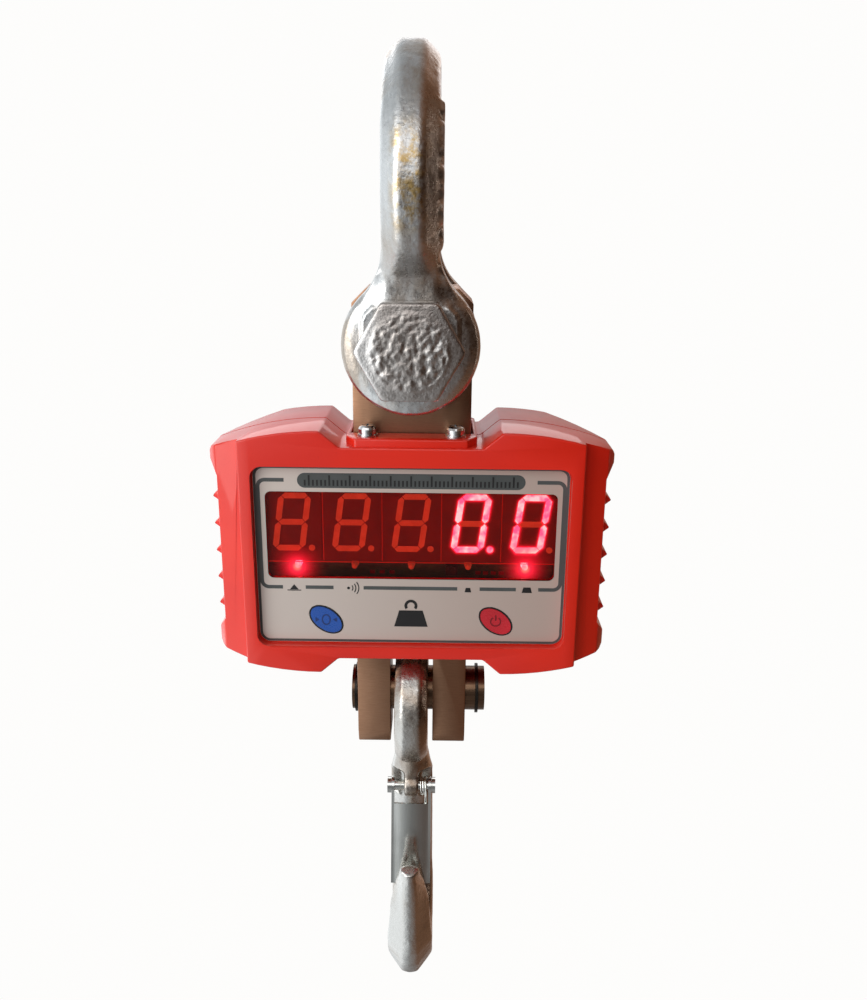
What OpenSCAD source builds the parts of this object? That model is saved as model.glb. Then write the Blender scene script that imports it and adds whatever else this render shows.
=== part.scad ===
/* [Shackle] */
// Inside length of the bow, from its crown to the bolt's axis
bow_length = 106.5; // [95:0.5:130]
// Inside width of the bow at its widest
bow_width = 74; // [66:1:90]
// Thickness of the bow's bar
bar_d = 27; // [22:0.5:30]
// Gap between the two ears
jaw_gap = 44; // [36:0.5:52]
// Diameter of each ear
ear_d = 64; // [54:1:74]
// Thickness of each ear
ear_t = 24; // [18:0.5:28]
// Diameter of the bolt
bolt_d = 28; // [22:0.5:32]
// Width across flats of the bolt's head and its nut
hex_af = 43; // [36:0.5:52]
// Height of the bolt's head
head_t = 13; // [8:0.5:20]

/* [Load cell] */
// Width of the steel bar
cell_w = 58; // [54:1:62]
// Thickness of the steel bar
cell_t = 28; // [22:0.5:28]
// Height of the bar above the bolt's axis
cell_top = 24; // [20:0.5:28]
// Drop from the bolt's axis to the middle of the display panel
face_drop = 105.5; // [104:0.5:125]
// Drop from the middle of the panel to the clevis pin's axis
pin_drop = 88; // [87:0.5:110]
// Length of each fork cheek below the clevis pin's axis
cheek_drop = 27; // [18:0.5:30]
// Width of the slot between the fork's cheeks
slot_w = 22.8; // [18:0.2:26]
// Diameter of the clevis pin
pin_d = 24; // [18:0.5:26]

/* [Hook] */
// Inner diameter of the eye
eye_id = 40; // [36:0.5:44]
// Outer diameter of the eye
eye_od = 68; // [60:0.5:70]
// Thickness of the eye
eye_t = 18; // [12:0.5:19]
// Drop from the clevis pin's axis to the middle of the bowl
bowl_drop = 134; // [126:1:160]
// Inside radius of the bowl
bowl_r = 21; // [17:0.5:24]
// Depth of the bar at the bottom of the bowl
bowl_depth = 26; // [18:0.5:28]
// Width of the bar at the bottom of the bowl
bowl_w = 26; // [18:0.5:28]

/* [Casing] */
// Overall width of the casing
case_w = 200; // [180:1:240]
// Distance from the panel up to the top notch's floor
notch_top = 56; // [52:0.5:60]
// Distance from the panel down to the bottom notch's floor
notch_bottom = 55.5; // [53:0.5:57]
// Height of the shoulders beside each notch
shoulder_h = 8; // [4:0.5:10]
// Overall depth of the casing
case_d = 62; // [60:1:80]
// Thickness of the casing's walls
wall = 3; // [2:0.1:4]
// Number of grip ribs on each side
rib_count = 5; // [1:1:5]

/* [Panel] */
// Width of the display panel
panel_w = 155; // [152:0.5:158]
// Height of the display panel
panel_h = 94; // [92:0.5:95]
// Width of the red window
window_w = 144; // [130:0.5:146]
// Height of the red window
window_h = 45.7; // [40:0.5:48]
// Height of one digit
digit_h = 30.5; // [24:0.5:32]
// Distance between neighbouring digits
digit_pitch = 29.8; // [26:0.1:29.8]
// Travel of each key
key_travel = 0.5; // [0.3:0.1:0.6]

/* [Hidden] */
$fn = 64;
eps = 0.01;

// Radial clearances: a turning fit, a fixed fit, and a gap between free curved faces
running_fit = 0.08;
fixed_fit = 0.03;
free_gap = 0.5;
small_gap = 0.2;

// Heights, measured down from the inner crown of the bow
bolt_z = -bow_length;
face_z = bolt_z - face_drop;
pin_z = face_z - pin_drop;
bowl_z = pin_z - bowl_drop;

// Depths, measured from the middle of the load cell
bezel_y = -case_d / 2;
panel_y = bezel_y + 5;
back_y = case_d / 2;
panel_t = 0.4;
floor_y = panel_y + wall;
gasket_t = 1.2;

// Shackle
ear_y = jaw_gap / 2 + ear_t / 2;
bow_r = (bow_width + bar_d) / 2;
bow_z = -bow_width / 2;
ear_reach = norm([ear_y, bolt_z - bow_z]);
leg_tilt = 90 - atan2(bow_z - bolt_z, -ear_y) + asin(bow_r / ear_reach);
leg_len = sqrt(ear_reach * ear_reach - bow_r * bow_r);
nut_t = 20;
nut_y = jaw_gap / 2 + ear_t + free_gap;
bolt_end_y = nut_y + nut_t + 11;
cotter_y = nut_y + nut_t + 5;
forging_pads = [[33.5, 8], [18.5, 16], [4, 7.2], [-4.8, 6.4], [-13.8, 7.6], [-24.8, 9.4]];
pad_w = 11;
pad_h = 1.2;

// Load cell
cell_chamfer = 7;
cell_bottom_z = pin_z - cheek_drop;
fork_t = max(cell_t, pin_d + 4);
fork_top_z = pin_z + 16;
slot_top_z = pin_z + 30;
gauge_r = 18;
gauge_pocket = 7;
cover_disc_t = 2;
cell_bolt_x = 20;
cell_bolt_z = [46, -48];

// Hook
eye_drop = (eye_id - pin_d) / 2 - free_gap;
eye_z = pin_z - eye_drop;
spine_r = bowl_r + bowl_depth / 2;
spine_turn = 25;
neck_top = 46;
neck_r = ((bowl_drop - neck_top - spine_r * sin(spine_turn)) * tan(spine_turn)
    - spine_r * cos(spine_turn))
    / (sin(spine_turn) * tan(spine_turn) - 1 + cos(spine_turn));
tip_r = 130;
tip_turn = 21;
latch_pivot = [-9, pin_z - 57];
latch_tilt = -13;
latch_len = 56;
latch_w = 22;
latch_t = 1.5;
latch_pin_d = 6;
lug_r = 6.5;
lug_w = 8.6;

// Casing outline, as heights above and below the middle of the panel
tip_x = case_w / 2;
recess_x = tip_x - 4;
notch_x = [34.5, 37];
shoulder_x = [44, 46];
shoulder_drop = 10.85;
shoulder_r = (pow(tip_x - shoulder_x[0], 2) + pow(shoulder_drop, 2)) / (2 * shoulder_drop);
notch_slope = 0.364;
tip_slope = 0.266;
top_tip_z = [46.5, 39.5];
bottom_tip_z = [-43.5, -37.5];
bezel_x = tip_x - 16;
rib_pitch = 14.5;
rib_mid_z = -2;
screw_x = 64;
screw_z = 50;

// Cover and seals round the load cell
cover_x = 32;
cover_y = 29;
cover_t = 4;
seal_h = 2.6;
cover_screw = [21.3, 21.5];
washer_t = 1;
cover_screw_len = 6.6;
spring_washer_t = 1.2;
passage_gap = 1;

// Panel and display, as heights from the middle of the panel
panel_mid = -1.2;
window_mid = 9.65;
lens_t = 1.8;
digit_w = 16.4;
digit_slant = 8;
digit_mid = 15.8;
digit_count = 5;
module_h = 41;
module_d = 6;
seg_t = 3;
seg_d = 0.3;
module_y = floor_y + small_gap;
board_y = module_y + module_d;
board_t = 1.6;
board_size = [150, 87];
board_mid = -0.5;
indicator_z = -8;
key_x = 43.3;
key_z = -35.7;
key_r = [9, 5.6];
key_tilt = -38;
main_y = board_y + board_t + 8.6;
main_box = [-90, -37, -44, 44];
plug_y = main_y + board_t + 5;

// Battery compartment in the rear casing, as heights from the middle of the panel
pocket_x = 31;
pocket_z = [-36, 32];
pocket_y = cell_t / 2 + 2;
door_x = 42;
door_z = [-40, 36];
door_t = 2.6;
seal_t = 0.8;
thumb_x = 37;
thumb_z = -2;
socket_x = -52;
socket_y = 14;

// Routes of the two inner cables, relative to the middle of the panel
signal_route = [[-cell_w / 2 - 5, 0, 4], [-40, 0, 4], [-47, 2, 6], [-53, 4.5, 11], [-56, plug_y + 5, 18],
    [-56.5, plug_y + 3, 20], [-56.5, plug_y, 20]];
battery_route = [[-28, 21.6, 18], [-46, 21.6, 18], [-52, 19, 14], [-56, 12, 3],
    [-56.5, plug_y + 6, -8], [-56.5, plug_y + 3, -10], [-56.5, plug_y, -10]];

// ---- shared shapes ----

// Extrudes an outline drawn in X and Z from one depth to another
module along_y(y0, y1) {
    translate([0, y1, 0]) rotate([90, 0, 0]) linear_extrude(y1 - y0) children();
}

// Extrudes an outline drawn in Y and Z from one side to another
module along_x(x0, x1) {
    translate([x0, 0, 0]) rotate([90, 0, 90]) linear_extrude(x1 - x0) children();
}

// A cylinder that runs along Y
module rod_y(r, y0, y1, x = 0, z = 0, fn = 64) {
    translate([x, y1, z]) rotate([90, 0, 0]) cylinder(r = r, h = y1 - y0, $fn = fn);
}

// A cylinder that runs along X
module rod_x(r, x0, x1, y = 0, z = 0, fn = 64) {
    translate([x0, y, z]) rotate([0, 90, 0]) cylinder(r = r, h = x1 - x0, $fn = fn);
}

// A box between two corners
module box(low, high) {
    translate(low) cube(high - low);
}

// A rectangle with round corners, centred
module round_rect(w, h, r) {
    square([w, h - 2 * r], center = true);
    square([w - 2 * r, h], center = true);
    for (x = [-1, 1], z = [-1, 1])
        translate([x * (w / 2 - r), z * (h / 2 - r)]) circle(r, $fn = 32);
}

// An ellipse with semi-axes r, made larger all round by grow
module oval(r, grow = 0) {
    polygon([for (a = [0:7.5:352.5]) [(r[0] + grow) * cos(a), (r[1] + grow) * sin(a)]]);
}

// Copies its children in the four corners of a rectangle
module corners(x, y) {
    for (i = [-1, 1], j = [-1, 1]) translate([i * x, j * y, 0]) children();
}

function unit(v) = v / norm(v);

// A bar swept along a path: across[i] is its half size beside ref, along[i] its half size along ref
// A taper makes the side away from the bend narrower than the side towards it
module sweep(path, ref, across, along, sides = 16, taper = 0) {
    n = len(path);
    tangent = [for (i = [0:n - 1]) unit(path[min(i + 1, n - 1)] - path[max(i - 1, 0)])];
    side = [for (t = tangent) unit(cross(t, ref))];
    up = [for (i = [0:n - 1]) cross(side[i], tangent[i])];
    points = [for (i = [0:n - 1], k = [0:sides - 1])
        path[i] + side[i] * across[i] * cos(360 * k / sides)
        + up[i] * along[i] * sin(360 * k / sides) * (1 + taper * cos(360 * k / sides))];
    walls = [for (i = [0:n - 2], k = [0:sides - 1]) let (m = (k + 1) % sides, a = i * sides, b = a + sides)
        each [[a + k, b + m, b + k], [a + k, a + m, b + m]]];
    first = [[for (k = [0:sides - 1]) sides - 1 - k]];
    last = [[for (k = [0:sides - 1]) (n - 1) * sides + k]];
    polyhedron(concat(points), concat(walls, first, last));
}

// A thin round cable along a route
module cable(route, r) {
    path = [for (p = route) p + [0, 0, face_z]];
    sizes = [for (p = route) r];
    sweep(path, [0.1, 0.2, 1], sizes, sizes, 8);
}

// ---- shackle ----

// Section of the bar: a round bar whose forging dies left it with eight narrow flats
module bar_section() {
    intersection() {
        circle(d = bar_d);
        square(bar_d * 0.945, center = true);
        rotate(45) square(bar_d * 0.965, center = true);
    }
}

module ear(side) {
    edge = 5;
    translate([0, side * ear_y, bolt_z]) rotate([90, 0, 0]) rotate_extrude() polygon([
        [0, -ear_t / 2], [ear_d / 2 - edge, -ear_t / 2], [ear_d / 2 - edge * 0.3, -ear_t / 2 + edge * 0.3],
        [ear_d / 2, -ear_t / 2 + edge], [ear_d / 2, ear_t / 2 - edge],
        [ear_d / 2 - edge * 0.3, ear_t / 2 - edge * 0.3], [ear_d / 2 - edge, ear_t / 2], [0, ear_t / 2]]);
}

module shackle_bow() color("silver") difference() {
    union() {
        translate([0, 0, bow_z]) rotate([90, 0, 90]) rotate([0, 0, -leg_tilt])
            rotate_extrude(angle = 180 + 2 * leg_tilt) translate([bow_r, 0]) bar_section();
        for (side = [-1, 1]) {
            translate([0, side * ear_y, bolt_z]) rotate([-side * leg_tilt, 0, 0])
                linear_extrude(leg_len) bar_section();
            ear(side);
        }
        // Raised forging pads along the bow's right-hand face, each with its angle above the bow's middle and its length
        for (pad = forging_pads)
            translate([0, 0, bow_z]) rotate([-pad[0], 0, 0]) translate([0, -bow_r, 0])
                along_x(bar_d / 2 - 2.5, bar_d / 2 + pad_h) round_rect(pad_w, pad[1], 2.5);
    }
    rod_y(bolt_d / 2 + fixed_fit, -nut_y - eps, nut_y + eps, 0, bolt_z);
    // Spot faces that seat the bolt's head and the nut
    for (side = [0, 1]) mirror([0, side, 0])
        rod_y(hex_af / 2 / cos(30) + 1, jaw_gap / 2 + ear_t, nut_y + nut_t, 0, bolt_z);
    // The ears' inner faces
    box([-ear_d, -jaw_gap / 2, bolt_z - ear_d], [ear_d, jaw_gap / 2, bolt_z + ear_d / 2 + 4]);
}

module hexagon(af) {
    circle(d = af / cos(30), $fn = 6);
}

module shackle_bolt() color("silver") difference() {
    head_y = -nut_y;
    union() {
        rod_y(bolt_d / 2, head_y, bolt_end_y, 0, bolt_z);
        translate([0, 0, bolt_z]) intersection() {
            along_y(head_y - head_t, head_y) hexagon(hex_af);
            translate([0, head_y, 0]) rotate([90, 0, 0])
                cylinder(r1 = hex_af / 2 + head_t + 3, r2 = hex_af / 2 + 2.3, h = head_t);
        }
        rod_y(hex_af * 0.385, head_y - head_t - 0.8, head_y, 0, bolt_z);
    }
    translate([0, cotter_y, bolt_z]) cylinder(r = 2.7, h = bolt_d + 2, center = true);
}

module shackle_nut() color("silver") difference() {
    translate([0, 0, bolt_z]) along_y(nut_y, nut_y + nut_t) hexagon(hex_af);
    rod_y(bolt_d / 2 + fixed_fit, nut_y - eps, nut_y + nut_t + eps, 0, bolt_z);
}

module shackle_cotter() color("gainsboro") translate([0, cotter_y, bolt_z]) {
    reach = bolt_d / 2 + 1.5;
    translate([0, 0, -reach]) cylinder(r = 2.4, h = 2 * reach);
    translate([0, 0, reach + 4]) rotate([90, 0, 0]) rotate_extrude() translate([4, 0]) circle(1.5);
    for (side = [-1, 1]) translate([0, 0, -reach]) rotate([0, 180 + side * 35, 0]) cylinder(r = 1.2, h = 9);
}

// ---- load cell ----

module cell_outline() {
    top = bolt_z + cell_top;
    polygon([[-cell_w / 2, cell_bottom_z], [cell_w / 2, cell_bottom_z], [cell_w / 2, top - cell_chamfer],
        [cell_w / 2 - cell_chamfer, top], [-cell_w / 2 + cell_chamfer, top], [-cell_w / 2, top - cell_chamfer]]);
}

module cell_side() {
    top = bolt_z + cell_top;
    low = [2.5, 7];
    polygon([[-fork_t / 2 + low[0], cell_bottom_z], [fork_t / 2 - low[0], cell_bottom_z],
        [fork_t / 2, cell_bottom_z + low[1]], [fork_t / 2, fork_top_z], [-fork_t / 2, fork_top_z],
        [-fork_t / 2, cell_bottom_z + low[1]]]);
    translate([-cell_t / 2, fork_top_z - 1]) square([cell_t, top - fork_top_z + 1]);
}

module load_cell() color([0.55, 0.5, 0.42]) difference() {
    intersection() {
        along_y(-fork_t / 2, fork_t / 2) cell_outline();
        along_x(-cell_w / 2, cell_w / 2) cell_side();
    }
    rod_y(bolt_d / 2 + running_fit, -cell_t, cell_t, 0, bolt_z);
    rod_x(pin_d / 2 + running_fit, -cell_w, cell_w, 0, pin_z);
    box([-slot_w / 2, -fork_t, cell_bottom_z - 1], [slot_w / 2, fork_t, slot_top_z]);
    for (y = [-cell_t / 2 - eps, cell_t / 2 - gauge_pocket]) rod_y(gauge_r, y, y + gauge_pocket + eps, 0, face_z);
    rod_x(3, -cell_w, 0, 0, face_z + 4);
    for (x = [-cell_bolt_x, cell_bolt_x], z = cell_bolt_z)
        rod_y(3 + fixed_fit, 3, cell_t, x, face_z + z);
}

module gauge_covers() color("silver")
    for (y = [-cell_t / 2, cell_t / 2 - cover_disc_t])
        rod_y(gauge_r - fixed_fit, y, y + cover_disc_t, 0, face_z);

module strain_gauges() color("goldenrod") {
    web = cell_t / 2 - gauge_pocket;
    for (x = [-7, 7], z = [-6, 6]) {
        box([x - 4, -web - 0.3, face_z + z - 3], [x + 4, -web, face_z + z + 3]);
        box([x - 4, web, face_z + z - 3], [x + 4, web + 0.3, face_z + z + 3]);
    }
}

module cable_gland() color("dimgray") difference() {
    union() {
        rod_x(5, -cell_w / 2 - 5, -cell_w / 2, 0, face_z + 4, 6);
        rod_x(3 - fixed_fit, -cell_w / 2 - 5, -cell_w / 2 + 6, 0, face_z + 4);
    }
    rod_x(1.7, -cell_w, cell_w, 0, face_z + 4);
}

module signal_cable() color("black") cable(signal_route, 1.5);

// ---- clevis pin and hook ----

pin_left = -32.4;
pin_right = 39.6;
clip_x = [-cell_w / 2 - 1.8, cell_w / 2 + 5.6];
clip_t = 1.5;

module clevis_pin() color([0.45, 0.4, 0.36]) difference() {
    rod_x(pin_d / 2, pin_left, pin_right, 0, pin_z);
    for (x = clip_x) difference() {
        rod_x(pin_d, x - small_gap / 2, x + clip_t + small_gap / 2, 0, pin_z);
        rod_x(pin_d / 2 - 1.2, x - 1, x + clip_t + 1, 0, pin_z);
    }
}

module clevis_circlips() color("black") for (x = clip_x) difference() {
    rod_x(pin_d / 2 + 1.5, x, x + clip_t, 0, pin_z);
    rod_x(pin_d / 2 - 1.2 + fixed_fit, x - 1, x + clip_t + 1, 0, pin_z);
    box([x - 1, -3, pin_z - pin_d], [x + clip_t + 1, 3, pin_z]);
}

// Middle line of the hook's bar, from inside the eye down round the bowl and up to the tip
neck_path = [for (a = [0:5:spine_turn]) [neck_r * (1 - cos(a)), -neck_top - neck_r * sin(a)]];
bowl_path = [for (a = [spine_turn:-15:-170]) [spine_r * cos(a), -bowl_drop + spine_r * sin(a)]];
tip_path = [for (a = [0:tip_turn / 5:tip_turn + eps])
    [-spine_r - tip_r * (1 - cos(a)), -bowl_drop + tip_r * sin(a)]];
spine = concat([[0, -36]], neck_path, bowl_path, tip_path);

// Half sizes of the bar, from the eye to the tip
hook_depth = [for (i = [0:len(spine) - 1])
    lookup(i, [[0, 13], [6, 12], [9, 14], [14, bowl_depth / 2], [20, 12], [23, 9.5], [25, 6.5], [26, 4]])];
hook_width = [for (i = [0:len(spine) - 1])
    lookup(i, [[0, 9], [1, 11], [2, 12], [9, 12.3], [11, bowl_w / 2], [20, bowl_w / 2], [23, 11], [25, 8], [26, 5.5]])];

module hook_eye() {
    edge = 4;
    r0 = eye_id / 2;
    r1 = eye_od / 2;
    translate([0, 0, eye_z]) rotate([0, 90, 0]) rotate_extrude() polygon([
        [r0, -eye_t / 2 + edge], [r0 + edge, -eye_t / 2], [r1 - edge, -eye_t / 2], [r1, -eye_t / 2 + edge],
        [r1, eye_t / 2 - edge], [r1 - edge, eye_t / 2], [r0 + edge, eye_t / 2], [r0, eye_t / 2 - edge]]);
}

module hook_body() color("silver") difference() {
    union() {
        hook_eye();
        difference() {
            sweep([for (p = spine) [0, p[0], pin_z + p[1]]], [1, 0, 0], hook_depth, hook_width, 20, 0.14);
            rod_x(eye_id / 2 + 4, -bowl_w, bowl_w, 0, eye_z);
            // Flats that let the latch's ears swing
            for (side = [-1, 1])
                rod_x(lug_r + 3, side * (lug_w / 2 + 6) - 6, side * (lug_w / 2 + 6) + 6,
                    latch_pivot[0], latch_pivot[1]);
        }
        rod_x(lug_r, -lug_w / 2, lug_w / 2, latch_pivot[0], latch_pivot[1]);
    }
    rod_x(latch_pin_d / 2 + fixed_fit, -lug_w, lug_w, latch_pivot[0], latch_pivot[1]);
}

// Places its children in the latch's own frame: hinge at the origin, length down -Z, front face to -Y
module latch_frame() {
    translate([0, latch_pivot[0], latch_pivot[1]]) rotate([latch_tilt, 0, 0]) children();
}

module hook_latch() color("lightgray") latch_frame() difference() {
    web_y = -5;
    union() {
        // Side ears and flanges
        for (side = [-1, 1]) {
            x = side * (latch_w / 2 - latch_t / 2);
            along_x(x - latch_t / 2, x + latch_t / 2) union() {
                circle(5.5);
                polygon([[web_y, 0], [5.4, 0], [3.5, -12], [1.5, -latch_len], [web_y, -latch_len]]);
            }
        }
        // Front web
        box([-latch_w / 2, web_y, -latch_len], [latch_w / 2, web_y + latch_t, -9]);
    }
    rod_x(latch_pin_d / 2 + running_fit, -latch_w, latch_w);
}

module latch_pin() color("gainsboro") {
    y = latch_pivot[0];
    z = latch_pivot[1];
    rod_x(latch_pin_d / 2, -latch_w / 2 - 1, latch_w / 2 + 1, y, z);
    for (x = [-latch_w / 2 - 2.4, latch_w / 2 + small_gap]) rod_x(4.4, x, x + 2.2, y, z);
}

module latch_spring() color("gainsboro") latch_frame() {
    turns = 2.25;
    wire = 0.6;
    coil_r = latch_pin_d / 2 + 1.1;
    pitch = 1.3;
    x0 = lug_w / 2 + 0.8;
    steps = 16 * turns;
    coil = [for (i = [0:steps]) let (a = 90 + i * 360 / 16)
        [x0 + pitch * i / 16, coil_r * cos(a), coil_r * sin(a)]];
    leg = [[x0 + pitch * turns, -1.4, -coil_r - 6], [x0 + pitch * turns, -1.6, -coil_r - 12]];
    path = concat(coil, leg);
    sizes = [for (p = path) wire];
    sweep(path, [1, 0, 0], sizes, sizes, 8);
}

// ---- casing ----

function shoulder_arc(x, x0, z0, grow) = z0 - shoulder_r + sqrt(pow(shoulder_r + grow, 2) - pow(x - x0, 2));

// Right half of the casing's outline, from the top notch round to the bottom one, moved inwards by e
function half_outline(e) = let (
    x_end = tip_x - max(e, 1.5),
    top_s = [shoulder_x[0] + notch_slope * e, notch_top + shoulder_h],
    low_s = [shoulder_x[1] + notch_slope * e, notch_bottom + shoulder_h])
    concat(
        [[notch_x[0] + notch_slope * e, notch_top - e]],
        [for (i = [0:8]) let (x = top_s[0] + (x_end - top_s[0]) * i / 8)
            [x, shoulder_arc(x, shoulder_x[0], top_s[1], -e)]],
        [[tip_x - e, shoulder_arc(tip_x, shoulder_x[0], top_s[1], -e) - 2], [tip_x - e, top_tip_z[0] + tip_slope * e],
            [recess_x - e, top_tip_z[1] + tip_slope * e], [recess_x - e, bottom_tip_z[1] - tip_slope * e],
            [tip_x - e, bottom_tip_z[0] - tip_slope * e],
            [tip_x - e, 2 - shoulder_arc(tip_x, shoulder_x[1], low_s[1], -e)]],
        [for (i = [8:-1:0]) let (x = low_s[0] + (x_end - low_s[0]) * i / 8)
            [x, -shoulder_arc(x, shoulder_x[1], low_s[1], -e)]],
        [[notch_x[1] + notch_slope * e, -notch_bottom + e]]);

module case_outline(e) {
    half = half_outline(e);
    translate([0, face_z]) polygon(concat(half, [for (i = [len(half) - 1:-1:0]) [-half[i][0], half[i][1]]]));
}

// Plan shapes of the two halves, drawn in X and Y, moved inwards by e
module front_plan(e) {
    x = tip_x - e;
    polygon([[-x, 0], [-x, -17], [-x + 3.5, panel_y + 4 + e], [-bezel_x + e, panel_y + e],
        [bezel_x - e, panel_y + e], [x - 3.5, panel_y + 4 + e], [x, -17], [x, 0]]);
}

module rear_plan(e) {
    x = tip_x - e;
    slope_x = tip_x - 30;
    polygon([[-x, 0], [x, 0], [x, 1], [slope_x - notch_slope * e, back_y - e], [-slope_x + notch_slope * e, back_y - e],
        [-x, 1]]);
}

module front_body(e) intersection() {
    along_y(panel_y + e, -gasket_t / 2) case_outline(e);
    translate([0, 0, face_z - 100]) linear_extrude(200) front_plan(e);
}

module rear_body(e) intersection() {
    along_y(gasket_t / 2, back_y - e) case_outline(e);
    translate([0, 0, face_z - 100]) linear_extrude(200) rear_plan(e);
}

// The holes in the casing's top and bottom that the load cell passes through
module cell_passage(gap) {
    for (z = [[48, 70], [-70, -50]])
        box([-cell_w / 2 - gap, -cell_t / 2 - gap, face_z + z[0]], [cell_w / 2 + gap, cell_t / 2 + gap, face_z + z[1]]);
}

// Places its children at the cover's screws, with the cover's top as their floor
module at_cover_screws() {
    translate([0, 0, face_z + notch_top + cover_t]) corners(cover_screw[0], cover_screw[1]) children();
}

module cover_screw_holes(r, depth) {
    at_cover_screws() translate([0, 0, -depth]) cylinder(r = r, h = depth + 1, $fn = 32);
}

module cover_bosses(y_side) {
    for (x = [-1, 1]) translate([x * cover_screw[0], y_side * cover_screw[1], face_z + notch_top - 9])
        cylinder(r = 4.5, h = 8);
}

module grip_ribs() {
    for (i = [0:rib_count - 1]) let (z = face_z + rib_mid_z + (i - (rib_count - 1) / 2) * rib_pitch)
        for (side = [0, 1]) mirror([side, 0, 0]) along_y(-16, -1.5) polygon([
            [recess_x - 1, z - 4.4], [recess_x, z - 3.8], [tip_x - 0.8, z - 1], [tip_x - 0.2, z],
            [tip_x - 0.8, z + 1], [recess_x, z + 3.8], [recess_x - 1, z + 4.4]]);
}

module at_casing_screws() {
    for (x = [-screw_x, screw_x], z = [-screw_z, screw_z]) translate([x, 0, face_z + z]) children();
}

module at_board_screws() {
    for (x = [-70, 70], z = [-40, 40]) translate([x, 0, face_z + z]) children();
}

module at_keys() {
    for (x = [-key_x, key_x]) translate([x, face_z + key_z]) rotate(key_tilt) children();
}

module front_casing() color([0.84, 0.16, 0.12]) difference() {
    union() {
        difference() {
            union() {
                front_body(0);
                intersection() {
                    along_y(bezel_y, panel_y + 1) case_outline(0);
                    box([-bezel_x, bezel_y, face_z - 100], [bezel_x, 0, face_z + 100]);
                }
                grip_ribs();
            }
            front_body(wall);
        }
        at_casing_screws() rod_y(4.5, floor_y - 1, -gasket_t / 2);
        at_board_screws() rod_y(2.8, floor_y - 1, board_y);
        cover_bosses(-1);
    }
    // Recess for the panel, ledge for the lens and the window
    along_y(bezel_y - 1, panel_y + panel_t) translate([0, face_z + panel_mid]) round_rect(panel_w + 1, panel_h + 1, 6);
    along_y(bezel_y, panel_y + panel_t + lens_t) translate([0, face_z + window_mid]) round_rect(window_w + 6, window_h + 6, 3);
    along_y(bezel_y, floor_y + 1) translate([0, face_z + window_mid]) round_rect(window_w, window_h, 3);
    along_y(bezel_y, floor_y + 1) at_keys() oval(key_r, small_gap);
    cell_passage(passage_gap);
    cover_screw_holes(2.5 + fixed_fit, 7.5);
    at_casing_screws() rod_y(2 + fixed_fit, -18.5, 1);
    at_board_screws() rod_y(1.25 + fixed_fit, board_y - 5, 1);
}

module battery_box() {
    box([-door_x - 2, cell_t / 2 + 0.6, face_z + door_z[0] - 2], [door_x + 2, back_y - 1, face_z + door_z[1] + 2]);
}

module rear_casing() color([0.8, 0.15, 0.11]) difference() {
    union() {
        difference() {
            rear_body(0);
            rear_body(wall);
        }
        battery_box();
        at_casing_screws() rod_y(4.5, gasket_t / 2, back_y - 1);
        for (x = [-cell_bolt_x, cell_bolt_x], z = cell_bolt_z) rod_y(6, cell_t / 2, back_y - 1, x, face_z + z);
        cover_bosses(1);
    }
    box([-pocket_x, pocket_y, face_z + pocket_z[0]], [pocket_x, back_y + 1, face_z + pocket_z[1]]);
    box([-door_x - small_gap, back_y - door_t - seal_t, face_z + door_z[0] - small_gap],
        [door_x + small_gap, back_y + 1, face_z + door_z[1] + small_gap]);
    for (x = [-thumb_x, thumb_x]) rod_y(2.5 + running_fit, back_y - 14, back_y, x, face_z + thumb_z);
    rod_x(1.8, -door_x - 3, 0, 21.6, face_z + 18);
    cell_passage(passage_gap);
    cover_screw_holes(2.5 + fixed_fit, 7.5);
    at_casing_screws() {
        rod_y(2 + fixed_fit, -1, back_y);
        rod_y(3.5 + small_gap, back_y - 4.5, back_y + 1);
    }
    for (x = [-cell_bolt_x, cell_bolt_x], z = cell_bolt_z) {
        rod_y(3 + fixed_fit, 1, back_y, x, face_z + z);
        rod_y(5 + small_gap, back_y - 6.5, back_y + 1, x, face_z + z);
    }
    // Seat for the charging socket
    translate([socket_x, socket_y, face_z]) {
        translate([0, 0, -70]) cylinder(r = 6 + small_gap, h = 70 - 61.2);
        translate([0, 0, -70]) cylinder(r = 4 + fixed_fit, h = 22);
    }
}

module casing_gasket() color([0.1, 0.1, 0.1]) difference() {
    along_y(-gasket_t / 2, gasket_t / 2) case_outline(0.5);
    along_y(-gasket_t, gasket_t) case_outline(wall - 0.2);
    cell_passage(passage_gap);
    at_casing_screws() rod_y(4.6, -gasket_t, gasket_t);
}

// A screw along +Y from its head's top: head radius and height, shank radius and length
module cap_screw(head, shank, socket) {
    difference() {
        rod_y(head[0], -head[1], 0);
        rod_y(socket, -head[1] * 0.6, 1, 0, 0, 6);
    }
    rod_y(shank[0], -head[1] - shank[1], -head[1]);
}

module casing_screws() color("gray") at_casing_screws() translate([0, back_y - 0.3, 0])
    cap_screw([3.5, 4], [2, 44], 1.7);

module cell_bolts() color("gray") for (x = [-cell_bolt_x, cell_bolt_x], z = cell_bolt_z)
    translate([x, back_y - 0.3, face_z + z]) cap_screw([5, 6], [3, 20], 2.9);

// Half plan of a cover plate with mitred ends
module cover_plan() {
    mitre = 8;
    polygon([[-cover_x, -cover_y + mitre], [-cover_x + mitre * 0.6, -cover_y], [cover_x - mitre * 0.6, -cover_y],
        [cover_x, -cover_y + mitre], [cover_x, cover_y - mitre], [cover_x - mitre * 0.6, cover_y],
        [-cover_x + mitre * 0.6, cover_y], [-cover_x, cover_y - mitre]]);
}

module cover_plate(z0, t) difference() {
    translate([0, 0, z0]) linear_extrude(t) difference() {
        cover_plan();
        square([cell_w + 2 * passage_gap, cell_t + 2 * passage_gap], center = true);
    }
    cover_screw_holes(2.5 + fixed_fit, 7.5);
}

module top_cover() color([0.84, 0.16, 0.12]) cover_plate(face_z + notch_top, cover_t);

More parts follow.
